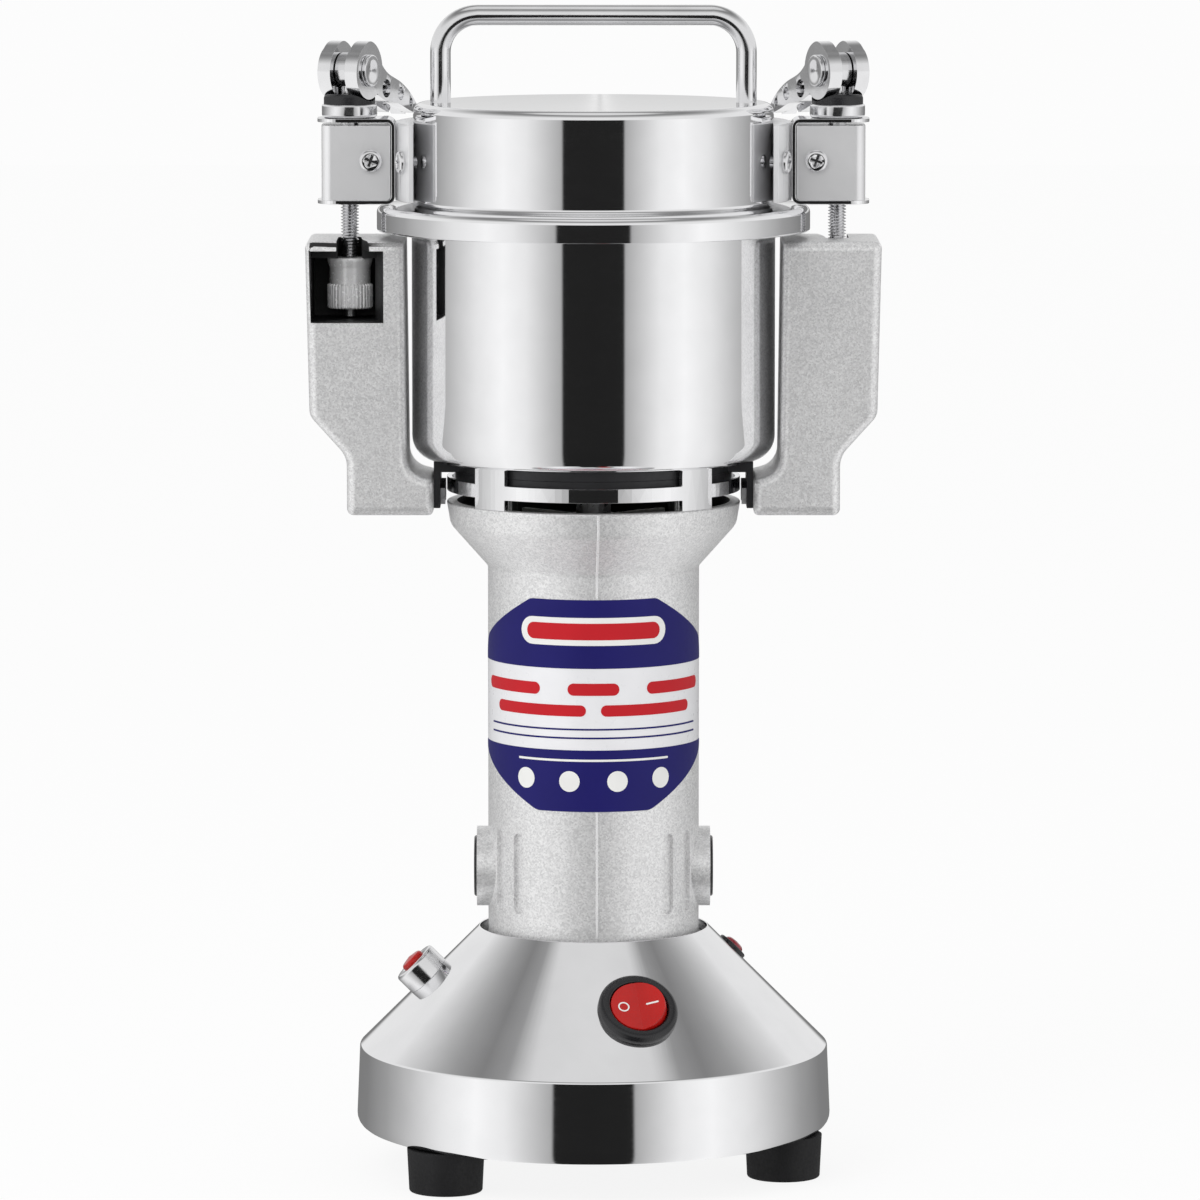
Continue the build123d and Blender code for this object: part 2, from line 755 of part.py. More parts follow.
def ear_left():
    """Cast ear: open to the front, with room for the clamp's nut and a slot for its rod."""
    profile = outline(
        (-ear_toe, ear_bottom, ear_edge_round), (-ear_toe, ear_toe_top, ear_toe_round),
        (-ear_inner, ear_toe_top + ear_toe_rise, ear_inner_bend),
        (-ear_inner - ear_inner_lean, ear_top, ear_toe_round), (-ear_outer_top, ear_top, ear_top_round),
        (-ear_outer_top + ear_outer_lean, ear_shoulder_level, ear_shoulder_bend),
        (-ear_outer_bottom, ear_waist_level, ear_waist_bend), (-ear_outer_bottom, ear_bottom, ear_top_round))
    ear = extrude(Plane.XZ * profile, amount=ear_half_depth, both=True)
    ear -= disc(jar_radius + loose, ear_toe_top + 4.0, ear_top + 1)
    upright = [e for e in ear.edges().filter_by(Axis.Z) if abs(e.center().X) > ear_outer_bottom - 1]
    ear = fillet(upright, ear_rounding)
    ear -= _window()
    hole = Rot(0, 90, 0) * Cylinder(ear_bolt_radius, 16)
    for y in (-ear_bolt_spacing / 2, ear_bolt_spacing / 2):
        ear -= Pos(-ear_toe, y, ear_bolt_level) * hole
    return ear


def _window():
    """Room swept by the nut and the rod as the lid turns, open to the front."""
    front = -ear_half_depth - 9
    ring = tube(window_outer + 9, rod_x - nut_radius - 0.5, window_bottom, window_top)
    room = ring & block((-window_outer, -30), (front, window_back), (window_bottom, window_top))
    room -= block((-through, 0), (-nut_seat_front, through), (nut_seat_level, window_top + 1))
    slot = _swept_slot(rod_radius + rod_slot_room, nut_seat_level - 1, ear_top + 1)
    return room + slot


def _swept_slot(half_width, low, high):
    """Slot from the rod's place at rest out to the front, along the lid's turn and straight."""
    front = -ear_half_depth - 9
    ring = tube(rod_x + half_width, rod_x - half_width, low, high)
    slot = ring & block((-window_outer, -30), (front, 0), (low, high))
    slot += block((-rod_x - half_width, -rod_x + half_width), (front, 0), (low, high))
    return slot + Pos(-rod_x, 0, 0) * disc(half_width, low, high)


# --- jar and blades ---------------------------------------------------------------------------------
def jar():
    wall = jar_wall
    rim = jar_rim_level
    cup = turned(
        (seal_radius, jar_bottom), (jar_radius, jar_bottom, jar_corner), (jar_radius, rim, 1.6),
        (jar_rim_radius, rim), (jar_rim_radius, rim + wall), (jar_radius - wall, rim + wall, 1.6 + wall),
        (jar_radius - wall, jar_floor_top, jar_corner - wall), (seal_radius, jar_floor_top))
    for hole in _jar_screw_set(disc(jar_screw_radius + 0.1, jar_bottom - 1, jar_floor_top + 1)):
        cup -= hole
    return cup


def jar_screws():
    top = jar_floor_top + screw_head_height
    screw = turned((0, cross_plate_bottom - 7), (jar_screw_radius, cross_plate_bottom - 7),
                   (jar_screw_radius, jar_floor_top), (jar_screw_head, jar_floor_top),
                   (jar_screw_head, top, 1.0), (0, top))
    return group(_jar_screw_set(screw))


def shaft_seal():
    return turned((bearing_bore + running, cross_plate_bottom), (seal_radius, cross_plate_bottom),
                  (seal_radius, jar_floor_top), (seal_flange, jar_floor_top), (seal_flange, seal_top, 0.5),
                  (bearing_bore + running, seal_top))


def blade_spacers():
    low = lower_blade_level - lower_spacer_height
    return group([tube(spacer_radius, bearing_bore, low, lower_blade_level),
                  tube(spacer_radius, bearing_bore, upper_spacer_level, upper_blade_level)])


def blade(reach, level, tip_rise, sweep):
    """Two-armed blade with swept edges and bent tips."""
    half = blade_width / 2
    bend = reach - 9
    arm = outline((-4, -half), (bend, -half + 1), (bend, half - 5), (8, half), (-4, half))
    tip = Plane.XZ * outline((bend - 1, 0), (bend, 0), (reach, tip_rise),
                             (reach, tip_rise + blade_thickness),
                             (bend, blade_thickness), (bend - 1, blade_thickness))
    wing = extrude(arm, amount=blade_thickness)
    wing += Pos(0, -1.75, 0) * extrude(tip, amount=half - 3, both=True)
    one = Rot(0, 0, sweep) * wing
    both = one + Rot(0, 0, 180) * one + disc(half, 0, blade_thickness)
    return Pos(0, 0, level) * (both - disc(bearing_bore, -1, blade_thickness + 1))


def blade_nut():
    level = blade_nut_level
    nut = extrude(Pos(0, 0, level) * RegularPolygon(blade_nut_flats / 2, 6, major_radius=False),
                  blade_nut_height)
    nut -= disc(bearing_bore, level - 1, shaft_top)
    return nut & turned((0, level), (blade_nut_flats / 2 + 0.9, level),
                        (blade_nut_flats / 2 + 0.9, level + 4.5),
                        (blade_nut_flats / 2 - 1, level + blade_nut_height), (0, level + blade_nut_height))


# --- lid and handle -----------------------------------------------------------------------------------
def lid_shell():
    wall = lid_wall
    shell = turned(
        (0, lid_top), (lid_radius, lid_top, lid_corner), (lid_radius, lid_foot_level, 1.0),
        (skirt_radius, skirt_top, 1.5), (skirt_radius, skirt_bottom, 0.8),
        (skirt_radius - wall, skirt_bottom),
        (skirt_radius - wall, lid_step_level, 0.6), (lid_radius - wall, lid_step_level, 0.4),
        (lid_radius - wall, lid_top - wall, lid_corner - wall), (0, lid_top - wall))
    for side in (-1, 1):
        shell -= Pos(side * handle_x, 0, lid_top) * Cylinder(handle_bar_radius - 0.6 + hidden_gap, 8)
    return shell


def lid_gasket():
    return turned((jar_radius + 0.4, gasket_bottom, 0.4), (jar_rim_radius - 0.2, gasket_bottom, 0.4),
                  (jar_rim_radius - 0.2, lid_step_level - tiny), (jar_radius + 0.4, lid_step_level - tiny))


def handle():
    level = handle_top - handle_bar_radius
    path = FilletPolyline((-handle_x, 0, lid_top), (-handle_x, 0, level), (handle_x, 0, level),
                          (handle_x, 0, lid_top), radius=handle_bend)
    bar = sweep(Plane(origin=path @ 0, z_dir=path % 0) * Circle(handle_bar_radius), path)
    depth = lid_wall + handle_nut_height + 1.0
    for side in (-1, 1):
        bar += Pos(side * handle_x, 0, 0) * disc(handle_bar_radius - 0.6, lid_top - depth, lid_top + 1)
    return bar


def handle_nuts():
    nuts = []
    top = lid_top - lid_wall
    for side in (-1, 1):
        nut = extrude(RegularPolygon(handle_nut_radius, 6), handle_nut_height)
        nut -= disc(handle_bar_radius - 0.6, -1, handle_nut_height + 1)
        nuts.append(Pos(side * handle_x, 0, top - handle_nut_height) * nut)
    return group(nuts)


# --- clamps -------------------------------------------------------------------------------------------
def lid_lugs():
    """Curved lug on the lid's wall with a flat pad for the channel."""
    weld = lid_radius * cos(radians(lug_weld_angle))
    sector = block((-lug_outer - 1, -weld), (-30, 30), (lug_bottom, lug_top))
    limit = 60 * sin(radians(lug_half_angle))
    reach = 60 * cos(radians(lug_half_angle))
    fan = Pos(0, 0, lug_bottom) * extrude(outline((0, 0), (-reach, -limit), (-70, 0), (-reach, limit)),
                                          amount=lug_top - lug_bottom)
    lug = tube(lug_outer, lid_radius, lug_bottom, lug_top) & fan & sector
    lug += block((-lug_outer, -lid_radius - 0.5), (-5.5, 5.5), (lug_bottom, lug_top))
    for angle in (-lug_screw_angle, lug_screw_angle):
        lug -= Rot(0, 0, angle) * Pos(-lug_outer, 0, block_screw_level) * Rot(0, 90, 0) * Cylinder(
            small_screw_radius, 2 * (lug_outer - lid_radius) - 1)
    return both_sides(lug)


def latch_brackets():
    """Channel on each lug: two flanges with rounded ends and a wall against the lug."""
    outer = outline((-channel_reach, channel_bottom), (-lug_outer - tiny, channel_bottom, 2.0),
                    (-lug_outer - tiny, channel_top, 2.0), (-channel_reach, channel_top),
                    (-channel_reach, channel_top - channel_sheet),
                    (-lug_outer - channel_sheet, channel_top - channel_sheet, 1.0),
                    (-lug_outer - channel_sheet, channel_bottom + channel_sheet, 1.0),
                    (-channel_reach, channel_bottom + channel_sheet))
    channel = extrude(Plane.XZ * outer, amount=channel_half_depth, both=True)
    plan = outline((-channel_reach, -channel_half_depth, 5.0), (-40, -channel_half_depth),
                   (-40, channel_half_depth), (-channel_reach, channel_half_depth, 5.0))
    channel &= Pos(0, 0, channel_bottom - 1) * extrude(plan, amount=channel_top - channel_bottom + 2)
    channel -= Pos(-rod_x, 0, 0) * disc(rod_radius + sliding, channel_bottom - 1, channel_top + 1)
    return both_sides(channel)


def guide_blocks():
    low = channel_bottom + channel_sheet
    high = channel_top - channel_sheet - block_top_gap
    inner = lug_outer + channel_sheet + 0.15
    plan = outline((-block_reach, -channel_half_depth, 2.4), (-inner, -channel_half_depth, 0.3),
                   (-inner, channel_half_depth, 0.3), (-block_reach, channel_half_depth, 2.4))
    room = outline((-channel_reach, low), (-inner, low, 1.1), (-inner, high + block_top_gap, 1.1),
                   (-channel_reach, high + block_top_gap))
    body = Pos(0, 0, low) * extrude(plan, amount=high - low)
    body &= extrude(Plane.XZ * room, amount=channel_half_depth, both=True)
    body -= Pos(-rod_x, 0, 0) * disc(rod_radius + sliding, low - 1, high + 1)
    body -= Pos(-block_screw_x, -channel_half_depth, block_screw_level) * Rot(90, 0, 0) * Cylinder(
        small_screw_radius, 16)
    return both_sides(body)


def bracket_screws():
    """Small pan-head screws in the guide blocks and in the lugs."""
    high = small_screw_head_height
    screw = turned((0, -6.0), (small_screw_radius, -6.0), (small_screw_radius, 0), (small_screw_head, 0),
                   (small_screw_head, high, 0.8), (0, high))
    short = turned((0, -3.2), (small_screw_radius, -3.2), (small_screw_radius, 0), (small_screw_head, 0),
                   (small_screw_head, high, 0.8), (0, high))
    left = [Pos(-block_screw_x, -channel_half_depth, block_screw_level) * Rot(90, 0, 0) * screw]
    for angle in (-lug_screw_angle, lug_screw_angle):
        left.append(Rot(0, 0, angle) * Pos(-lug_outer, 0, block_screw_level) * Rot(0, -90, 0) * short)
    return group(left + [mirror(s, Plane.YZ) for s in left])


def cup_washers():
    cup = turned((rod_radius + sliding, 0), (cup_radius, 0, 0.8), (cup_radius, cup_height, 0.5),
                 (rod_radius + sliding, cup_height))
    return both_sides(Pos(-rod_x, 0, channel_top) * cup)


def clamp_plane():
    """Plane across the clamp: x along the lever's arm, y up and z along the pivot."""
    skew = radians(lever_skew)
    return Plane(origin=(-rod_x, 0, pivot_level), x_dir=(sin(skew), cos(skew), 0),
                 z_dir=(cos(skew), -sin(skew), 0))


def cam_bushes():
    """Black seat with a cam groove, a hole for the rod and one side cut down for the lever's arm."""
    low = channel_top + cup_height
    seat = Pos(-rod_x, 0, 0) * turned((rod_radius + sliding, low), (seat_radius, low),
                                      (seat_radius, low + seat_height, 0.7),
                                      (rod_radius + sliding, low + seat_height))
    seat -= clamp_plane() * Cylinder(cam_radius, 40)
    seat -= clamp_plane() * block((seat_relief_start, 20), (-cam_radius, 20), (-20, 20))
    return both_sides(seat)


def cam_outline():
    """Round cam that loses the rod's drop over the lever's range and then comes back to full size."""
    half = seat_half_angle()
    rate = rod_drop / lever_open * cos(radians(half))
    swept = lever_open + 2 * half
    points = []
    for step in range(cam_points):
        turn = step * 360 / cam_points
        back = 1 - min(1.0, max(0.0, turn - swept) / cam_run_out)
        radius = cam_radius - cam_play - rate * min(turn, swept) * back
        heading = radians(half - 90 - turn)
        points.append((radius * cos(heading), radius * sin(heading)))
    return make_face(Spline(*points, periodic=True))


def seat_half_angle():
    """Half the angle of the cam that lies in its seat's groove."""
    return degrees(acos((cam_radius - seat_groove_depth) / cam_radius))


def cam_lever():
    """Two cam cheeks joined by a web along the drilled arm."""
    top = Spline(*arm_points_top)
    bottom = Spline(*arm_points_bottom)
    arm = make_face(top + Line(top @ 1, bottom @ 0) + bottom + Line(bottom @ 1, top @ 0))
    cheek = cam_outline() + arm
    cheek -= Circle(pivot_radius + running)
    for x, y, radius in arm_holes:
        cheek -= Pos(x, y) * Circle(radius)
    cheek = Pos(0, 0, cheek_inner) * extrude(cheek, amount=cheek_thickness)
    upper = Spline(*[(x, y - arm_web_inset) for x, y in arm_points_top[1:]])
    lower = Spline(*[(x, y - arm_web_inset - arm_web_thickness) for x, y in arm_points_top[1:]])
    web = make_face(upper + Line(upper @ 1, lower @ 1) + lower + Line(lower @ 0, upper @ 0))
    web = extrude(web, amount=cheek_inner, both=True)
    return clamp_plane() * (cheek + mirror(cheek, Plane.XY) + web)


def pivot_pin():
    reach = cheek_outer + 0.08
    shank = Cylinder(pivot_radius, 2 * reach)
    head = turned((0, 0), (pivot_head_radius, 0), (pivot_head_radius, pivot_head_height, 0.3),
                  (pivot_head_radius - 1.1, pivot_head_height), (0, 0.3))
    return clamp_plane() * (shank + Pos(0, 0, reach) * head + Pos(0, 0, -reach) * Rot(180, 0, 0) * head)


def rod():
    """Threaded rod with a flat eye on top and a thinner stud below."""
    shank_top = pivot_level - eye_radius * 0.6
    shank = turned((0, stud_bottom), (stud_radius, stud_bottom, 0.3), (stud_radius, nut_bottom + 1.5),
                   (rod_radius, nut_bottom + 1.5), (rod_radius, shank_top), (0, shank_top))
    shank = Pos(-rod_x, 0, 0) * shank
    eye = clamp_plane() * Cylinder(eye_radius, eye_thickness)
    flat_bottom = -cam_radius - loose
    flat = block((-20, 20), (flat_bottom, 20), (eye_thickness / 2, 9))
    flat += mirror(flat, Plane.XY)
    return shank - clamp_plane() * flat + eye - clamp_plane() * Cylinder(pivot_radius, 20)


def knurled_nut():
    smooth_top = nut_bottom + nut_knurl_height + nut_smooth_height
    bore = rod_radius + running
    body = turned((bore, nut_bottom), (nut_radius, nut_bottom, 0.4),
                  (nut_radius, nut_bottom + nut_knurl_height, 0.3),
                  (nut_smooth_radius, nut_bottom + nut_knurl_height), (nut_smooth_radius, smooth_top),
                  (nut_radius, nut_top - 0.7), (nut_radius, nut_top), (bore, nut_top))
    return Pos(-rod_x, 0, 0) * body


def to_right(shape):
    return mirror(shape, Plane.YZ)


def main():
    os.makedirs("parts", exist_ok=True)
    nodes = {
        "base_shell": base_shell(), "base_plate": base_plate(), "rubber_feet": rubber_feet(),
        "foot_screws": foot_screws(), "base_pillars": base_pillars(), "rocker_bezel": rocker_bezel(),
        "rocker_button": rocker_button(), "breaker_collar": breaker_collar(), "breaker_body": breaker_body(),
        "reset_button": reset_button(), "pilot_lamp_bezel": pilot_lamp_bezel(),
        "pilot_lamp_lens": pilot_lamp_lens(), "cord_gland": cord_gland(),
        "bearing_bracket": bearing_bracket(), "housing_screws": housing_screws(),
        "motor_housing": motor_housing(),
        "lower_bearing": bearing(lower_bearing_level), "upper_bearing": bearing(upper_bearing_level),
        "stator_core": stator_core(), "field_coils": field_coils(), "motor_shaft": motor_shaft(),
        "armature_core": armature_core(), "armature_windings": armature_windings(),
        "commutator": commutator(),
        "carbon_brushes": carbon_brushes(), "brush_holders": brush_holders(),
        "brush_springs": brush_springs(),
        "brush_caps": brush_caps(), "cooling_fan": cooling_fan(),
        "vent_ring": vent_ring(), "cross_plate": cross_plate(), "ear_bolts": ear_bolts(),
        "ear_left": ear_left(), "ear_right": round_about(180, ear_left()),
        "jar": jar(), "jar_screws": jar_screws(), "shaft_seal": shaft_seal(),
        "blade_spacers": blade_spacers(),
        "lower_blade": blade(lower_blade_reach, lower_blade_level, -1.5, 0),
        "upper_blade": blade(upper_blade_reach, upper_blade_level, 6.0, 90), "blade_nut": blade_nut(),
        "lid_shell": lid_shell(), "lid_gasket": lid_gasket(), "handle": handle(),
        "handle_nuts": handle_nuts(),
        "lid_lugs": lid_lugs(), "latch_brackets": latch_brackets(), "guide_blocks": guide_blocks(),
        "bracket_screws": bracket_screws(), "cup_washers": cup_washers(), "cam_bushes": cam_bushes(),
    }
    for name, shape in (("rod", rod()), ("pivot_pin", pivot_pin()), ("cam_lever", cam_lever()),
                        ("knurled_nut", knurled_nut())):
        nodes[f"{name}_left"] = shape
        nodes[f"{name}_right"] = to_right(shape)
    for name, shape in nodes.items():
        export(shape, name)
    print(len(nodes), "nodes; pivot level", round(pivot_level, 3), "blade level",
          round(lower_blade_level, 3))


main()
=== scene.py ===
import json
from math import cos, pi, radians, sin, sqrt, tan

import bmesh
import bpy
from mathutils import Matrix, Vector


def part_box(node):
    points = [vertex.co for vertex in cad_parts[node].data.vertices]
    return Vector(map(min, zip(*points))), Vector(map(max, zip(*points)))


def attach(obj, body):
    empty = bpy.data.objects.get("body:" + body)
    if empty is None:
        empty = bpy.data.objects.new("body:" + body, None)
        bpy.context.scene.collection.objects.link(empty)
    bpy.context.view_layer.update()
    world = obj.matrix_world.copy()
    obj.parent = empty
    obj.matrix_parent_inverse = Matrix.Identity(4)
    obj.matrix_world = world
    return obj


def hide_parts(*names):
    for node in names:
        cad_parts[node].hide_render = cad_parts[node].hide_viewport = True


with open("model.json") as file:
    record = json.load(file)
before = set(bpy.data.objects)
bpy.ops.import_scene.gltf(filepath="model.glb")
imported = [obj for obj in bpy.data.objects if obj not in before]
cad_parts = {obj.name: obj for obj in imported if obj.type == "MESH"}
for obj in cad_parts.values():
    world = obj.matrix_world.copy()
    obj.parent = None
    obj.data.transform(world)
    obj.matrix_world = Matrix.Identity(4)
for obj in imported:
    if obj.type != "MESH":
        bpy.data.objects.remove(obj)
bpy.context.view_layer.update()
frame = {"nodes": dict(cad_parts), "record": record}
nodes = frame["nodes"]
mm = 0.001
sides = {"left": -1, "right": 1}


# camera, studio and floor

view = {"place": (0.0015, -1.7664, 0.3363), "tilt": 83.423, "lens": 230.67, "sensor": 36.0, "reach": 100}

studio = {
    "plainLight": 0.8,
    "seenWhite": 0.975,
    # how bright the room is from the front (0) round to the back (1)
    "roundabout": (
        (0.0, 0.015), (0.105, 0.016), (0.112, 0.42), (0.17, 0.62), (0.24, 0.86), (0.33, 0.98),
        (0.44, 0.82), (0.56, 0.54), (0.67, 0.34), (0.80, 0.22), (1.0, 0.19),
    ),
    # and from the horizon (0) up to straight above (1)
    "overhead": (
        (0.0, 0.82), (0.5, 0.80), (0.66, 0.55), (0.78, 0.33), (0.86, 0.22), (0.91, 0.30),
        (0.95, 0.68), (1.0, 0.72),
    ),
    # between these heights the first gives way to the second
    "changeOver": (-0.03, 0.08),
    "keyPower": 5.0, "keyPlace": (-0.7, -0.9, 1.0), "keyAim": (0, 0, 0.15), "keySize": 0.7,
    "floorSize": 8.0, "floorColour": (0.95, 0.95, 0.95), "floorGlow": 1.0, "floorShare": 0.87,
}


def makeCamera():
    data = bpy.data.cameras.new("camera")
    data.lens = view["lens"]
    data.sensor_width = view["sensor"]
    data.clip_end = view["reach"]
    camera = bpy.data.objects.new("camera", data)
    camera.location = view["place"]
    camera.rotation_euler = (radians(view["tilt"]), 0, 0)
    bpy.context.scene.collection.objects.link(camera)
    bpy.context.scene.camera = camera


def addNode(tree, kind, **settings):
    node = tree.nodes.new(kind)
    for key, value in settings.items():
        setattr(node, key, value)
    return node


def grey(level):
    return (level, level, level, 1)


def feed(tree, source, socket):
    # a socket is linked to another one, or set to a plain value
    if isinstance(source, bpy.types.NodeSocket):
        tree.links.new(source, socket)
    else:
        socket.default_value = source


def addRamp(tree, stops, source):
    ramp = addNode(tree, "ShaderNodeValToRGB")
    elements = ramp.color_ramp.elements
    elements[0].position, elements[0].color = stops[0][0], grey(stops[0][1])
    elements[1].position, elements[1].color = stops[-1][0], grey(stops[-1][1])
    for position, level in stops[1:-1]:
        elements.new(position).color = grey(level)
    tree.links.new(source, ramp.inputs["Fac"])
    return ramp.outputs["Color"]


def addMath(tree, operation, *sources):
    node = addNode(tree, "ShaderNodeMath", operation=operation)
    for socket, source in zip(node.inputs, sources):
        feed(tree, source, socket)
    return node.outputs[0]


def addMix(tree, factor, first, second):
    mix = addNode(tree, "ShaderNodeMix", data_type="RGBA")
    feed(tree, factor, mix.inputs["Factor"])
    feed(tree, first, mix.inputs["A"])
    feed(tree, second, mix.inputs["B"])
    return mix.outputs["Result"]


def meshFrom(name, bm):
    mesh = bpy.data.meshes.new(name)
    bm.to_mesh(mesh)
    bm.free()
    return mesh


def makeStudio():
    world = bpy.data.worlds.new("studio")
    world.use_nodes = True
    bpy.context.scene.world = world
    tree = world.node_tree
    tree.nodes.clear()
    heading = addNode(tree, "ShaderNodeTexCoord").outputs["Generated"]
    split = addNode(tree, "ShaderNodeSeparateXYZ")
    tree.links.new(heading, split.inputs[0])
    across, along, up = split.outputs
    # half the angle from the front, which falls back to the front for steep directions
    sideways = addMath(tree, "ABSOLUTE", across)
    turn = addMath(tree, "ARCTAN2", sideways, addMath(tree, "SUBTRACT", 1.0, along))
    turn = addMath(tree, "DIVIDE", turn, pi / 2)
    low = addRamp(tree, studio["roundabout"], turn)
    high = addRamp(tree, studio["overhead"], up)
    change = addNode(tree, "ShaderNodeMapRange", interpolation_type="SMOOTHSTEP")
    change.inputs["From Min"].default_value, change.inputs["From Max"].default_value = studio["changeOver"]
    tree.links.new(up, change.inputs["Value"])
    room = addMix(tree, change.outputs[0], low, high)
    path = addNode(tree, "ShaderNodeLightPath")
    seen = addMix(tree, path.outputs["Is Camera Ray"], room, grey(studio["seenWhite"]))
    mirrored = addMath(tree, "MAXIMUM", path.outputs["Is Glossy Ray"], path.outputs["Is Transmission Ray"])
    showing = addMath(tree, "MAXIMUM", path.outputs["Is Camera Ray"], mirrored)
    light = addMix(tree, showing, grey(studio["plainLight"]), seen)
    back = addNode(tree, "ShaderNodeBackground")
    tree.links.new(light, back.inputs["Color"])
    out = addNode(tree, "ShaderNodeOutputWorld")
    tree.links.new(back.outputs[0], out.inputs[0])


def makeKeyLight():
    data = bpy.data.lights.new("keyLight", "AREA")
    data.energy = studio["keyPower"]
    data.size = studio["keySize"]
    light = bpy.data.objects.new("keyLight", data)
    light.location = studio["keyPlace"]
    aim = Vector(studio["keyAim"]) - light.location
    light.rotation_euler = aim.to_track_quat("-Z", "Y").to_euler()
    light.visible_glossy = False
    bpy.context.scene.collection.objects.link(light)


def makeFloor():
    bm = bmesh.new()
    bmesh.ops.create_grid(bm, x_segments=1, y_segments=1, size=studio["floorSize"] / 2)
    mesh = meshFrom("floor", bm)
    floor = bpy.data.objects.new("floor", mesh)
    bpy.context.scene.collection.objects.link(floor)
    material = bpy.data.materials.new("floorPaper")
    material.use_nodes = True
    tree = material.node_tree
    tree.nodes.clear()
    paper = addNode(tree, "ShaderNodeBsdfDiffuse")
    paper.inputs["Color"].default_value = studio["floorColour"] + (1,)
    glow = addNode(tree, "ShaderNodeEmission")
    glow.inputs["Strength"].default_value = studio["floorGlow"]
    path = addNode(tree, "ShaderNodeLightPath")
    share = addMath(tree, "MULTIPLY", path.outputs["Is Camera Ray"], studio["floorShare"])
    mix = addNode(tree, "ShaderNodeMixShader")
    tree.links.new(share, mix.inputs[0])
    tree.links.new(paper.outputs[0], mix.inputs[1])
    tree.links.new(glow.outputs[0], mix.inputs[2])
    out = addNode(tree, "ShaderNodeOutputMaterial")
    tree.links.new(mix.outputs[0], out.inputs[0])
    mesh.materials.append(material)
    floor.visible_glossy = False


makeCamera()
makeStudio()
makeKeyLight()
makeFloor()
scene = bpy.context.scene
scene.view_settings.view_transform = "Standard"
print("stage: camera, studio and floor are set")


# finishes

# what a finish has unless it says otherwise, with the size of its cloudiness in millimetres
plainFinish = {"stretch": (1, 1, 1), "fineDetail": 5.0, "broadGrain": 9.0, "broadDetail": 2.0, "shine": 0.5,
               "coat": 0.0, "coatRough": 0.05}

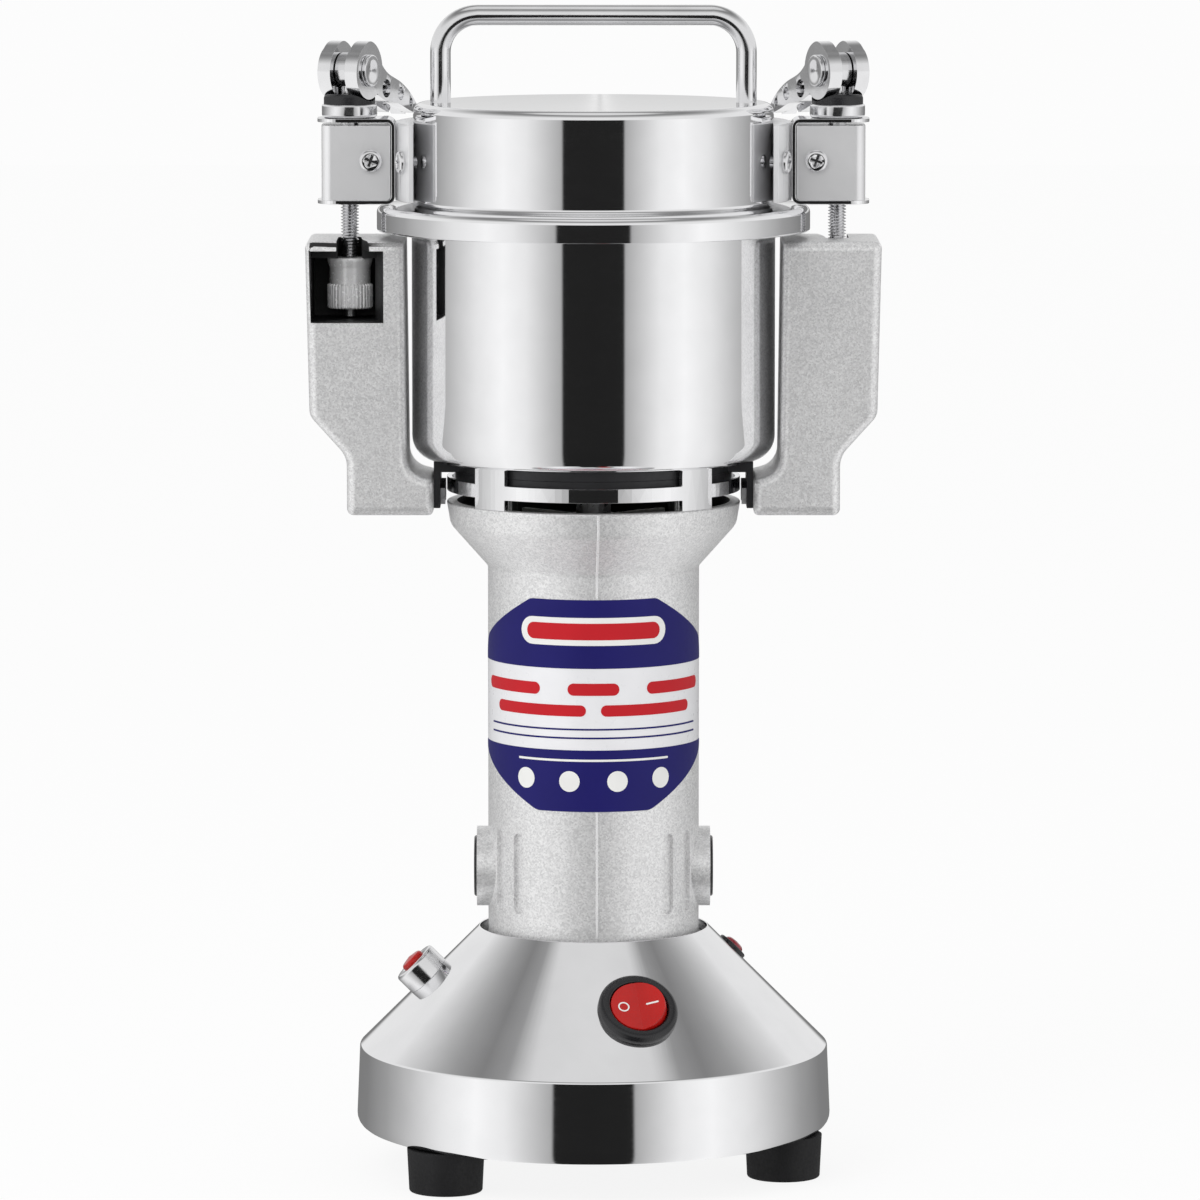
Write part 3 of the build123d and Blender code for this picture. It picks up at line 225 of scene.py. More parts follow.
looks = {
    "polishedSteel": {"slot": "polished_steel", "colour": (0.93, 0.93, 0.94), "metal": 1.0,
                      "rough": (0.035, 0.07), "grain": 7.0, "stretch": (1, 1, 22), "bump": 0.012,
                      "depth": 0.02, "tint": 0.02},
    "platedSteel": {"slot": "chrome_plate", "colour": (0.86, 0.86, 0.87), "metal": 1.0,
                    "rough": (0.07, 0.16), "grain": 2.5, "bump": 0.03, "depth": 0.03, "tint": 0.05},
    "satinSteel": {"slot": "zinc_steel", "colour": (0.62, 0.62, 0.63), "metal": 1.0, "rough": (0.24, 0.40),
                   "grain": 1.2, "bump": 0.06, "depth": 0.03, "tint": 0.10},
    "blackSteel": {"slot": "black_steel", "colour": (0.035, 0.035, 0.038), "metal": 0.4,
                   "rough": (0.32, 0.48), "grain": 0.8, "bump": 0.08, "depth": 0.03, "tint": 0.2},
    "blackRubber": {"slot": "black_rubber", "colour": (0.011, 0.011, 0.012), "metal": 0.0,
                    "rough": (0.5, 0.68), "grain": 0.6, "bump": 0.12,
                    "depth": 0.05, "tint": 0.25, "shine": 0.3},
    "blackPlastic": {"slot": "black_plastic", "colour": (0.016, 0.016, 0.018), "metal": 0.0,
                     "rough": (0.20, 0.32), "grain": 0.45, "bump": 0.06, "depth": 0.03, "tint": 0.2},
    "redPlastic": {"slot": "red_plastic", "colour": (0.48, 0.008, 0.006), "metal": 0.0,
                   "rough": (0.10, 0.20), "grain": 1.6, "bump": 0.02,
                   "depth": 0.02, "tint": 0.12, "coat": 0.25,
                   "shine": 0.3},
    "silicone": {"slot": "silicone", "colour": (0.72, 0.72, 0.69), "metal": 0.0, "rough": (0.42, 0.58),
                 "grain": 0.9, "bump": 0.08, "depth": 0.04, "tint": 0.08},
    "laminations": {"slot": "laminated_steel", "colour": (0.20, 0.21, 0.23), "metal": 0.8,
                    "rough": (0.35, 0.55), "grain": 4.0, "stretch": (1, 1, 14), "bump": 0.4,
                    "depth": 0.12, "tint": 0.35},
    "copperWire": {"slot": "copper_wire", "colour": (0.62, 0.22, 0.09), "metal": 1.0, "rough": (0.22, 0.38),
                   "grain": 5.0, "stretch": (1, 1, 12), "bump": 0.6, "depth": 0.2, "tint": 0.3},
    "brass": {"slot": "brass", "colour": (0.75, 0.52, 0.22), "metal": 1.0, "rough": (0.20, 0.34),
              "grain": 1.5, "bump": 0.05, "depth": 0.03, "tint": 0.15},
    "carbon": {"slot": "carbon", "colour": (0.04, 0.04, 0.042), "metal": 0.1, "rough": (0.5, 0.7),
               "grain": 0.4, "bump": 0.15, "depth": 0.04, "tint": 0.3},
    "whitePlastic": {"slot": "white_plastic", "colour": (0.78, 0.78, 0.76), "metal": 0.0,
                     "rough": (0.32, 0.46), "grain": 0.9, "bump": 0.05, "depth": 0.03, "tint": 0.05},
    "labelWhite": {"slot": "white_plastic", "colour": (0.84, 0.84, 0.86), "metal": 0.0,
                   "rough": (0.26, 0.36), "grain": 1.4, "bump": 0.03,
                   "depth": 0.02, "tint": 0.03, "coat": 0.4},
    "labelNavy": {"slot": "white_plastic", "colour": (0.011, 0.009, 0.132), "metal": 0.0,
                  "rough": (0.38, 0.44), "grain": 1.4, "bump": 0.005,
                  "depth": 0.02, "tint": 0.04, "shine": 0.2},
    "labelRed": {"slot": "white_plastic", "colour": (0.55, 0.012, 0.020), "metal": 0.0,
                 "rough": (0.38, 0.44), "grain": 1.4, "bump": 0.005,
                 "depth": 0.02, "tint": 0.04, "shine": 0.2},
    "satinPlate": {"slot": "polished_steel", "colour": (0.86, 0.86, 0.87), "metal": 0.45,
                   "rough": (0.20, 0.26), "grain": 1.6, "stretch": (1, 1, 9), "bump": 0.008,
                   "depth": 0.02, "tint": 0.03},
    "nutPlate": {"slot": "chrome_plate", "colour": (0.93, 0.93, 0.935), "metal": 0.3, "rough": (0.20, 0.30),
                 "grain": 1.2, "bump": 0.02, "depth": 0.02, "tint": 0.05},
    "boltSteel": {"slot": "zinc_steel", "colour": (0.80, 0.80, 0.81), "metal": 1.0, "rough": (0.12, 0.20),
                  "grain": 1.2, "bump": 0.02, "depth": 0.02, "tint": 0.05},
    # painted highlight: the seam bead's finish is lighter and less metallic than the casting, standing in for
    # the bright line of light along it
    "seamHighlightAluminium": {"slot": "cast_alloy", "colour": (0.95, 0.95, 0.955), "metal": 0.3,
                       "rough": (0.26, 0.34), "grain": 1.0, "bump": 0.03, "depth": 0.02, "tint": 0.03},
    # painted shade: a near-black finish for faces inside the ear windows and the flare, standing in for the
    # shade in those hollows; the metal there is the same casting
    "paintedShadeBlack": {"slot": "cast_alloy", "colour": (0.014, 0.014, 0.015), "metal": 0.0,
                    "rough": (0.45, 0.65), "grain": 0.5, "bump": 0.2, "depth": 0.06, "tint": 0.25},
    "markWhite": {"slot": "white_plastic", "colour": (0.86, 0.86, 0.84), "metal": 0.0, "rough": (0.30, 0.42),
                  "grain": 0.8, "bump": 0.03, "depth": 0.02, "tint": 0.04},
}

castLook = {
    "slot": "cast_alloy", "colour": (0.93, 0.93, 0.935), "dark": 0.74, "bright": 1.10, "rough": (0.34, 0.52),
    "metal": 0.6, "grain": 0.5, "grainDetail": 4.0, "broadGrain": 6.0, "broadDetail": 3.0, "fleck": 0.34,
    "cloud": 0.12, "grainHeight": 0.7, "fleckHeight": 0.5, "bump": 0.26, "depth": 0.08,
}

lensLook = {
    "slot": "red_lens", "colour": (0.42, 0.012, 0.03), "dark": 0.8, "bright": 1.25, "rough": 0.06,
    "through": 0.35, "coat": 0.6, "cloudGrain": 2.5, "cloudDetail": 2.0,
}


def shade(colour, amount):
    return tuple(min(1.0, c * amount) for c in colour) + (1,)


def startMaterial(name):
    material = bpy.data.materials.new(name)
    material.use_nodes = True
    tree = material.node_tree
    shader = tree.nodes["Principled BSDF"]
    coordinates = addNode(tree, "ShaderNodeTexCoord").outputs["Object"]
    return material, tree, shader, coordinates


def addNoise(tree, coordinates, size, detail, stretch=(1, 1, 1)):
    place = addNode(tree, "ShaderNodeMapping")
    place.inputs["Scale"].default_value = stretch
    tree.links.new(coordinates, place.inputs["Vector"])
    noise = addNode(tree, "ShaderNodeTexNoise")
    noise.inputs["Scale"].default_value = 1 / (size * mm)
    noise.inputs["Detail"].default_value = detail
    tree.links.new(place.outputs["Vector"], noise.inputs["Vector"])
    return noise.outputs["Fac"]


def addRange(tree, source, low, high, fromLow=0.3, fromHigh=0.7):
    node = addNode(tree, "ShaderNodeMapRange")
    node.inputs["From Min"].default_value = fromLow
    node.inputs["From Max"].default_value = fromHigh
    node.inputs["To Min"].default_value = low
    node.inputs["To Max"].default_value = high
    tree.links.new(source, node.inputs["Value"])
    return node.outputs[0]


def addBump(tree, shader, height, strength, depth):
    bump = addNode(tree, "ShaderNodeBump")
    bump.inputs["Strength"].default_value = strength
    bump.inputs["Distance"].default_value = depth * mm
    tree.links.new(height, bump.inputs["Height"])
    tree.links.new(bump.outputs[0], shader.inputs["Normal"])


def makeFinish(name, look):
    look = plainFinish | look
    material, tree, shader, coordinates = startMaterial(name)
    fine = addNoise(tree, coordinates, look["grain"], look["fineDetail"], look["stretch"])
    broad = addNoise(tree, coordinates, look["broadGrain"], look["broadDetail"])
    dark, bright = shade(look["colour"], 1 - look["tint"]), shade(look["colour"], 1 + look["tint"])
    colour = addMix(tree, addRange(tree, broad, 0.0, 1.0), dark, bright)
    tree.links.new(colour, shader.inputs["Base Color"])
    tree.links.new(addRange(tree, fine, *look["rough"]), shader.inputs["Roughness"])
    shader.inputs["Metallic"].default_value = look["metal"]
    shader.inputs["Specular IOR Level"].default_value = look["shine"]
    shader.inputs["Coat Weight"].default_value = look["coat"]
    shader.inputs["Coat Roughness"].default_value = look["coatRough"]
    addBump(tree, shader, fine, look["bump"], look["depth"])
    return material


def makeCastFinish(name, look):
    # blasted casting: fine dimples with bright flecks between them
    material, tree, shader, coordinates = startMaterial(name)
    grain = addNoise(tree, coordinates, look["grain"], look["grainDetail"])
    broad = addNoise(tree, coordinates, look["broadGrain"], look["broadDetail"])
    fleck = addNode(tree, "ShaderNodeTexVoronoi")
    fleck.inputs["Scale"].default_value = 1 / (look["fleck"] * mm)
    tree.links.new(coordinates, fleck.inputs["Vector"])
    cell = addNode(tree, "ShaderNodeSeparateColor")
    tree.links.new(fleck.outputs["Color"], cell.inputs[0])
    cloud = look["cloud"]
    level = addMath(tree, "MULTIPLY_ADD", cell.outputs[0], 1 - cloud, addRange(tree, broad, 0.0, cloud))
    colour = addMix(tree, level, shade(look["colour"], look["dark"]), shade(look["colour"], look["bright"]))
    tree.links.new(colour, shader.inputs["Base Color"])
    rough = addRange(tree, cell.outputs[1], *look["rough"], fromLow=0.0, fromHigh=1.0)
    tree.links.new(rough, shader.inputs["Roughness"])
    shader.inputs["Metallic"].default_value = look["metal"]
    height = addMath(tree, "MULTIPLY", fleck.outputs["Distance"], look["fleckHeight"])
    height = addMath(tree, "MULTIPLY_ADD", grain, look["grainHeight"], height)
    addBump(tree, shader, height, look["bump"], look["depth"])
    return material


def makeLensFinish(name, look):
    material, tree, shader, coordinates = startMaterial(name)
    cloud = addNoise(tree, coordinates, look["cloudGrain"], look["cloudDetail"])
    dark, bright = shade(look["colour"], look["dark"]), shade(look["colour"], look["bright"])
    colour = addMix(tree, addRange(tree, cloud, 0.0, 1.0), dark, bright)
    tree.links.new(colour, shader.inputs["Base Color"])
    shader.inputs["Roughness"].default_value = look["rough"]
    shader.inputs["Transmission Weight"].default_value = look["through"]
    shader.inputs["Coat Weight"].default_value = look["coat"]
    return material


finishes = {name: makeFinish(name, look) for name, look in looks.items()}
finishes["castAluminium"] = makeCastFinish("castAluminium", castLook)
finishes["redLens"] = makeLensFinish("redLens", lensLook)
slots = {name: look["slot"] for name, look in looks.items()}
slots["castAluminium"] = castLook["slot"]
slots["redLens"] = lensLook["slot"]
bodies = frame["record"]["behaviour"]["bodies"]
bodyOf = {node: body for body, members in bodies.items() for node in members}
print("stage: finishes are mixed")


# ways of making a piece

creaseAngle = 32  # degrees from which an edge is sharp
spinSteps = {"shell": 224, "trim": 160, "nut": 64, "mark": 40, "rodCore": 32}
weld = {"spin": 1e-6, "node": 2e-6, "cut": 1e-7}  # metres


def shift(x, y, z):
    return Matrix.Translation((x * mm, y * mm, z * mm))


def vertsIn(geometry):
    return [item for item in geometry if isinstance(item, bmesh.types.BMVert)]


def roundCorner(bm, vert, radius, segments):
    first, second = [edge.other_vert(vert).co - vert.co for edge in vert.link_edges]
    reach = radius * mm * tan((pi - first.angle(second)) / 2)
    bmesh.ops.bevel(bm, geom=[vert], offset=reach, offset_type="OFFSET", affect="VERTICES",
                    segments=segments, profile=0.5, material=-1)


def drawOutline(points, closed=True, upright=True, segments=6):
    # (x, y) or (x, y, corner radius) in millimetres; upright draws in the XZ plane, otherwise in XY
    bm = bmesh.new()
    verts = []
    for point in points:
        x, y = point[0] * mm, point[1] * mm
        verts.append(bm.verts.new((x, 0, y) if upright else (x, y, 0)))
    ends = verts[1:] + verts[:1] if closed else verts[1:]
    for start, end in zip(verts, ends):
        bm.edges.new((start, end))
    for vert, point in zip(verts, points):
        if len(point) > 2:
            roundCorner(bm, vert, point[2], segments)
    return bm


def fillOutline(points, height, upright=True):
    # a flat outline filled and pushed out along its normal by height millimetres
    bm = drawOutline(points, upright=upright)
    bmesh.ops.contextual_create(bm, geom=bm.edges[:])
    raised = bmesh.ops.extrude_face_region(bm, geom=bm.faces[:])["geom"]
    push = (0, -height * mm, 0) if upright else (0, 0, height * mm)
    bmesh.ops.translate(bm, verts=vertsIn(raised), vec=push)
    bmesh.ops.recalc_face_normals(bm, faces=bm.faces)
    return bm


def spinOutline(points, steps=spinSteps["trim"], closed=True, segments=6):
    bm = drawOutline(points, closed, segments=segments)
    bmesh.ops.spin(bm, geom=bm.verts[:] + bm.edges[:], cent=(0, 0, 0), axis=(0, 0, 1), angle=2 * pi,
                   steps=steps, use_merge=True)
    bmesh.ops.remove_doubles(bm, verts=bm.verts, dist=weld["spin"])
    return bm


def finishMesh(mesh, finish, sharp=creaseAngle):
    mesh.shade_smooth()
    mesh.set_sharp_from_angle(angle=radians(sharp))
    mesh.materials.append(finishes[finish])
    return mesh


def toMesh(name, bm, finish, sharp=creaseAngle):
    bmesh.ops.recalc_face_normals(bm, faces=bm.faces)
    return finishMesh(meshFrom(name, bm), finish, sharp)


def evenShading(piece):
    soften = piece.modifiers.new("evenShading", "WEIGHTED_NORMAL")
    soften.keep_sharp = True


def addPiece(name, mesh, body, replaced=()):
    piece = bpy.data.objects.new(name, mesh)
    bpy.context.scene.collection.objects.link(piece)
    evenShading(piece)
    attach(piece, body)
    if replaced:
        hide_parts(*replaced)
    return piece


def joinMeshes(bm, other, matrix=None):
    # the second is placed by the matrix, added to the first and let go
    mesh = meshFrom("part", other)
    if matrix:
        mesh.transform(matrix)
    bm.from_mesh(mesh)
    bpy.data.meshes.remove(mesh)


def copyNode(node):
    bm = bmesh.new()
    bm.from_mesh(nodes[node].data)
    bmesh.ops.remove_doubles(bm, verts=bm.verts, dist=weld["node"])
    bmesh.ops.dissolve_degenerate(bm, edges=bm.edges, dist=weld["cut"])
    return bm


def dressNode(node, finish, edge=0.0):
    # a merged copy of the node with softened edges and its finish
    mesh = finishMesh(meshFrom(node, copyNode(node)), finish)
    first, *others = node.split("_")
    piece = bpy.data.objects.new(first + "".join(word.capitalize() for word in others), mesh)
    bpy.context.scene.collection.objects.link(piece)
    if edge:
        bevel = piece.modifiers.new("softEdge", "BEVEL")
        bevel.width = edge * mm
        bevel.segments = 2
        bevel.limit_method = "ANGLE"
        bevel.angle_limit = radians(creaseAngle)
        bevel.use_clamp_overlap = True
    evenShading(piece)
    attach(piece, bodyOf[node])
    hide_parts(node)
    return piece


def paintFaces(piece, finish, chosen):
    # give a second finish to the faces whose centre (millimetres) and normal are chosen
    piece.data.materials.append(finishes[finish])
    for face in piece.data.polygons:
        if chosen(face.center / mm, face.normal):
            face.material_index = 1


def cutAway(mesh, cutterMesh):
    holder = bpy.data.objects.new("holder", mesh)
    cutter = bpy.data.objects.new("cutter", cutterMesh)
    for thing in (holder, cutter):
        bpy.context.scene.collection.objects.link(thing)
    cut = holder.modifiers.new("cut", "BOOLEAN")
    cut.operation = "DIFFERENCE"
    cut.solver = "EXACT"
    cut.object = cutter
    graph = bpy.context.evaluated_depsgraph_get()
    result = bpy.data.meshes.new_from_object(holder.evaluated_get(graph))
    for thing in (holder, cutter):
        bpy.data.objects.remove(thing)
    return result


coneSum = 83.3  # radius and level of a point on the base's cone add up to this


def coneFrame(azimuth, radius, height=0.0):
    # a place on the base's cone, with its Z out of the surface
    side = radians(azimuth)
    normal = Vector((sin(side) * sqrt(0.5), -cos(side) * sqrt(0.5), sqrt(0.5)))
    point = Vector((radius * sin(side), -radius * cos(side), coneSum - radius)) + normal * height
    across = Vector((cos(side), sin(side), 0))
    turn = Matrix((across, normal.cross(across), normal)).transposed().to_4x4()
    return Matrix.Translation(point * mm) @ turn


# base

conePlaces = {"rocker": (14.4, 40.4), "breaker": (-88.0, 38.4), "lamp": (105.0, 33.3)}  # azimuth and radius

baseParts = {
    "shell": (
        (51.5, 10), (55.1, 10, 3.0), (54.3, 29, 0.8), (26.3, 57.0, 0.2), (26.3, 55.59), (53.3, 28.59, 0.3),
        (54.1, 11, 2.0), (51.5, 11),
    ),
    "holes": {"rocker": 7.95, "breaker": 4.45, "lamp": 3.45},
    "glandHole": 5.15, "glandLevel": 20.0, "baseRadius": 55.1, "boringLength": 12, "boringSides": 64,
}


def boringMesh(matrix, radius):
    bm = bmesh.new()
    bmesh.ops.create_cone(bm, cap_ends=True, segments=baseParts["boringSides"], radius1=radius * mm,
                          radius2=radius * mm, depth=baseParts["boringLength"] * mm, matrix=matrix)
    return meshFrom("boring", bm)


def addBaseShell():
    mesh = toMesh("baseShell", spinOutline(baseParts["shell"], spinSteps["shell"]), "polishedSteel")
    for place, hole in baseParts["holes"].items():
        mesh = cutAway(mesh, boringMesh(coneFrame(*conePlaces[place]), hole))
    back = shift(0, baseParts["baseRadius"], baseParts["glandLevel"])
    mesh = cutAway(mesh, boringMesh(back @ Matrix.Rotation(pi / 2, 4, "X"), baseParts["glandHole"]))
    mesh.name = "baseShell"
    mesh.set_sharp_from_angle(angle=radians(creaseAngle))
    addPiece("baseShell", mesh, "base", ["base_shell"])


rockerMarks = {
    "pivotHeight": 0.6, "tilt": 10.0, "faceSlope": 9.46, "offset": 3.3, "faceHeight": 2.06,
    "ringOuter": 1.3, "ringInner": 0.98, "barLength": 2.9, "barWidth": 0.42, "barCorner": 0.1,
    "sink": 0.02, "thickness": 0.08,
}


def addRockerMarks():
    marks = rockerMarks
    pivot = coneFrame(*conePlaces["rocker"], marks["pivotHeight"])
    pivot = pivot @ Matrix.Rotation(-radians(marks["tilt"]), 4, "Y")
    low, high, corner = -marks["sink"], marks["thickness"], marks["barCorner"]
    inner, outer = marks["ringInner"], marks["ringOuter"]
    ring = spinOutline(((inner, low), (outer, low), (outer, high), (inner, high)), spinSteps["mark"])
    half, width = marks["barLength"] / 2, marks["barWidth"] / 2
    bar = fillOutline(((-half, -width, corner), (half, -width, corner), (half, width, corner),
                       (-half, width, corner)), high, upright=False)
    bm = bmesh.new()
    for mark, side in ((ring, -1), (bar, 1)):
        seat = shift(side * marks["offset"], 0, marks["faceHeight"])
        lean = Matrix.Rotation(-side * radians(marks["faceSlope"]), 4, "Y")
        joinMeshes(bm, mark, pivot @ seat @ lean)
    addPiece("rockerMarks", toMesh("rockerMarks", bm, "markWhite"), "rocker")


addBaseShell()
dressNode("base_plate", "satinSteel", 0.15)
dressNode("rubber_feet", "blackRubber", 0.35)
dressNode("foot_screws", "satinSteel", 0.15)
dressNode("base_pillars", "satinSteel", 0.15)
dressNode("rocker_bezel", "blackPlastic", 0.12)
dressNode("rocker_button", "redPlastic", 0.25)
addRockerMarks()
dressNode("breaker_collar", "platedSteel", 0.1)
dressNode("breaker_body", "blackPlastic", 0.15)
dressNode("reset_button", "redPlastic", 0.1)
dressNode("pilot_lamp_bezel", "blackPlastic", 0.1)
dressNode("pilot_lamp_lens", "redLens")
dressNode("cord_gland", "blackRubber", 0.2)
print("stage: base is built")


# motor and pedestal

flare = {
    "low": 141.5, "high": 155.9, "rim": 156.05, "wall": 1.2, "facing": 0.3,
    "outer": ((140.9, 24.4), (150.6, 33.0), (156.0, 33.9)),
}


def insideFlare(centre, normal):
    # the faces that get painted shade: the flare's inner side and the screw bosses above it, not its outer
    # wall or the top of its rim
    if not flare["low"] < centre.z < flare["high"]:
        return centre.z > flare["rim"]
    (low, lowRadius), (middle, middleRadius), (high, highRadius) = flare["outer"]
    if centre.z < middle:
        outer = lowRadius + (middleRadius - lowRadius) * (centre.z - low) / (middle - low)
    else:
        outer = middleRadius + (highRadius - middleRadius) * (centre.z - middle) / (high - middle)
    reach = centre.xy.length
    return reach < outer - flare["wall"] and normal.xy.dot(centre.xy) < flare["facing"] * reach


dressNode("bearing_bracket", "castAluminium", 0.2)
dressNode("housing_screws", "satinSteel", 0.15)
# painted shade: the inside of the flare gets the near-black finish in place of the shade in that hollow
paintFaces(dressNode("motor_housing", "castAluminium", 0.3), "paintedShadeBlack", insideFlare)
dressNode("lower_bearing", "satinSteel", 0.3)
dressNode("upper_bearing", "satinSteel", 0.3)
dressNode("stator_core", "laminations")
dressNode("field_coils", "copperWire", 0.8)
dressNode("motor_shaft", "satinSteel")
dressNode("armature_core", "laminations")
dressNode("armature_windings", "copperWire", 0.4)
dressNode("commutator", "brass", 0.1)
dressNode("carbon_brushes", "carbon", 0.1)
dressNode("brush_holders", "brass", 0.2)
dressNode("brush_springs", "satinSteel")
dressNode("brush_caps", "blackPlastic", 0.2)
dressNode("cooling_fan", "whitePlastic", 0.2)
print("stage: motor and pedestal are built")


# parting line and label of the pedestal

pedestal = {
    "radius": 24.4, "labelTop": 135.6, "labelBottom": 86.4, "seamBottom": 57.2,
    "seamRoot": 24.1, "seamCrest": 24.62, "seamTurn": 1.9, "seamWidth": 0.55, "seamSoft": 0.08,
    # up the outside of the flare and back down inside it
    "seamFlare": (
        (24.62, 140.8, 1.2), (33.22, 150.5, 4.0), (34.1, 155.8), (33.5, 155.8), (32.6, 150.9, 4.0),
        (24.1, 141.2, 1.2),
    ),
}


def seamOutline(low):
    return ((pedestal["seamRoot"], low), (pedestal["seamCrest"], low)) + pedestal["seamFlare"]


def addPartingLine():
    width, root, crest = pedestal["seamWidth"], pedestal["seamRoot"], pedestal["seamCrest"]
    bottom, end = pedestal["seamBottom"], pedestal["labelBottom"]
    lowBead = ((root, bottom), (crest, bottom), (crest, end), (root, end))
    bm = bmesh.new()
    for points, turn in ((lowBead, 0), (seamOutline(pedestal["labelTop"]), 0), (seamOutline(bottom), 180)):
        bead = fillOutline(points, width)
        bmesh.ops.translate(bead, verts=bead.verts, vec=(0, width / 2 * mm, 0))
        joinMeshes(bm, bead, Matrix.Rotation(radians(turn - 90 + pedestal["seamTurn"]), 4, "Z"))
    # the bead is real; its lighter finish is painted highlight
    seam = addPiece("partingLine", toMesh("partingLine", bm, "seamHighlightAluminium"), "base")
    bevel = seam.modifiers.new("softEdge", "BEVEL")
    bevel.width = pedestal["seamSoft"] * mm
    bevel.segments = 2


def around(degrees):
    # arc length in millimetres along the pedestal
    return radians(degrees) * pedestal["radius"]


label = {
    "lift": {"labelWhite": 0.03, "labelNavy": 0.08, "labelRed": 0.08, "markWhite": 0.13}, "titleLift": 0.18,
    "thickness": 0.05, "strip": 1.2, "barRound": 0.49, "discRound": 0.995,
    # corners of each patch: azimuth, level and corner radius
    "sheet": (
        (-36, 135.4, 2.5), (36, 135.4, 2.5), (85, 124.0, 6), (85, 99.0, 6), (32, 86.6, 4), (-32, 86.6, 4),
        (-85, 99.0, 6), (-85, 124.0, 6),
    ),
    "topBand": (
        (-36, 135.4, 2.5), (36, 135.4, 2.5), (85, 124.0, 6), (85, 119.6), (-85, 119.6), (-85, 124.0, 6),
    ),
    "lowBand": (
        (-85, 100.8), (85, 100.8), (85, 99.0, 1.6), (32, 86.6, 4), (-32, 86.6, 4), (-85, 99.0, 1.6),
    ),
    # plain bars with round ends: azimuths of both ends, lower and upper level
    "titleBar": (-42, 42, 124.9, 131.3),
    "titleCore": (-38, 38, 126.2, 130.0),
    "redBars": (
        (-74, -30, 113.4, 116.2), (-14, 14, 113.4, 116.2), (30, 74, 113.4, 116.2), (-62, -4, 108.6, 111.2),
        (4, 62, 108.6, 111.2),
    ),
    "navyLines": ((-70, 70, 105.4, 105.8), (-70, 70, 103.4, 103.8)),
    "dashes": ((-44, 44, 98.2, 98.7),),
    # azimuth, level and radius
    "discs": ((-39, 93.9, 2.4), (-13, 93.6, 2.4), (13, 93.6, 2.4), (39, 93.9, 2.4)),
}


def patchOutline(part):
    return [(around(point[0]),) + point[1:] for point in label[part]]


def barOutline(first, last, low, high):
    turn = label["barRound"] * (high - low)
    return ((around(first), low, turn), (around(last), low, turn), (around(last), high, turn),
            (around(first), high, turn))


def discOutline(azimuth, level, radius):
    middle, turn = around(azimuth), label["discRound"] * radius
    return ((middle - radius, level - radius, turn), (middle + radius, level - radius, turn),
            (middle + radius, level + radius, turn), (middle - radius, level + radius, turn))


def wrapPatch(bm, points, lift):
    # cut a flat patch into narrow strips, then lay it on the pedestal
    patch = drawOutline(points)
    bmesh.ops.contextual_create(patch, geom=patch.edges[:])
    reach = max(abs(vert.co.x) for vert in patch.verts)
    strip = label["strip"] * mm
    count = int(reach / strip)
    for step in range(-count, count + 1):
        bmesh.ops.bisect_plane(patch, geom=patch.verts[:] + patch.edges[:] + patch.faces[:],
                               dist=weld["cut"], plane_co=(step * strip, 0, 0), plane_no=(1, 0, 0))
    raised = bmesh.ops.extrude_face_region(patch, geom=patch.faces[:])["geom"]
    bmesh.ops.translate(patch, verts=vertsIn(raised), vec=(0, -label["thickness"] * mm, 0))
    for vert in patch.verts:
        radius = (pedestal["radius"] + lift) * mm - vert.co.y
        turn = vert.co.x / (pedestal["radius"] * mm)
        vert.co = (radius * sin(turn), -radius * cos(turn), vert.co.z)
    joinMeshes(bm, patch)


def addLabelLayer(name, finish, outlines, lift=None):
    bm = bmesh.new()
    for points in outlines:
        wrapPatch(bm, points, label["lift"][finish] if lift is None else lift)
    addPiece(name, toMesh(name, bm, finish), "base")


def addLabel():
    addLabelLayer("labelSheet", "labelWhite", [patchOutline("sheet")])
    addLabelLayer("labelBands", "labelNavy", [patchOutline("topBand"), patchOutline("lowBand")])
    addLabelLayer("labelLines", "labelNavy", [barOutline(*line) for line in label["navyLines"]])
    addLabelLayer("labelBars", "labelRed", [barOutline(*bar) for bar in label["redBars"]])
    marks = [barOutline(*bar) for bar in (label["titleBar"],) + label["dashes"]]
    marks += [discOutline(*disc) for disc in label["discs"]]
    addLabelLayer("labelMarks", "markWhite", marks)
    addLabelLayer("labelTitle", "labelRed", [barOutline(*label["titleCore"])], lift=label["titleLift"])


addPartingLine()
addLabel()
print("stage: label is laid on")


# vent ring, cross plate and ears

earWindow = {"inner": 49.95, "outer": 64.8, "front": -14.75, "back": 8.8, "low": 197.6, "high": 216.3}


def paintWindowShade(ear, turn):
    # painted shade: the walls of the nut's room and of the rod's slot get a near-black finish standing in for
    # the shade inside the window
    def inWindow(centre, normal):
        inside = earWindow["low"] < centre.z < earWindow["high"]
        inside = inside and earWindow["front"] < centre.y * turn < earWindow["back"]
        return inside and abs(centre.x) < earWindow["outer"] and centre.xy.length > earWindow["inner"]

    paintFaces(ear, "paintedShadeBlack", inWindow)


plateLip = {"inner": 31.3, "outer": 31.9, "low": 161.2, "high": 163.12, "corner": 0.15}


def addPlateLipAndShade():
    # the plate's rim is rolled down behind the ring's upper slots; this black ring is not in the solids and
    # also stands in for the shade behind those slots (painted shade)
    inner, outer, low, high, corner = plateLip.values()
    bm = spinOutline(((inner, low), (outer, low, corner), (outer, high), (inner, high)))
    addPiece("plateLip", toMesh("plateLip", bm, "blackSteel"), "base")


dressNode("vent_ring", "polishedSteel", 0.12)
dressNode("cross_plate", "blackSteel", 0.15)
addPlateLipAndShade()
dressNode("ear_bolts", "satinSteel", 0.1)
for side in sides:
    paintWindowShade(dressNode(f"ear_{side}", "castAluminium", 0.45), -sides[side])
print("stage: ears are built")


# jar and blades

jarParts = {"hole": 9.0, "radius": 41.8, "rimRadius": 47.8, "floor": 165.6, "wall": 1.2, "gasketGap": 0.05,
            "floorCorner": 5.5, "neckCorner": 1.6, "rimCorner": 0.5, "segments": 10}


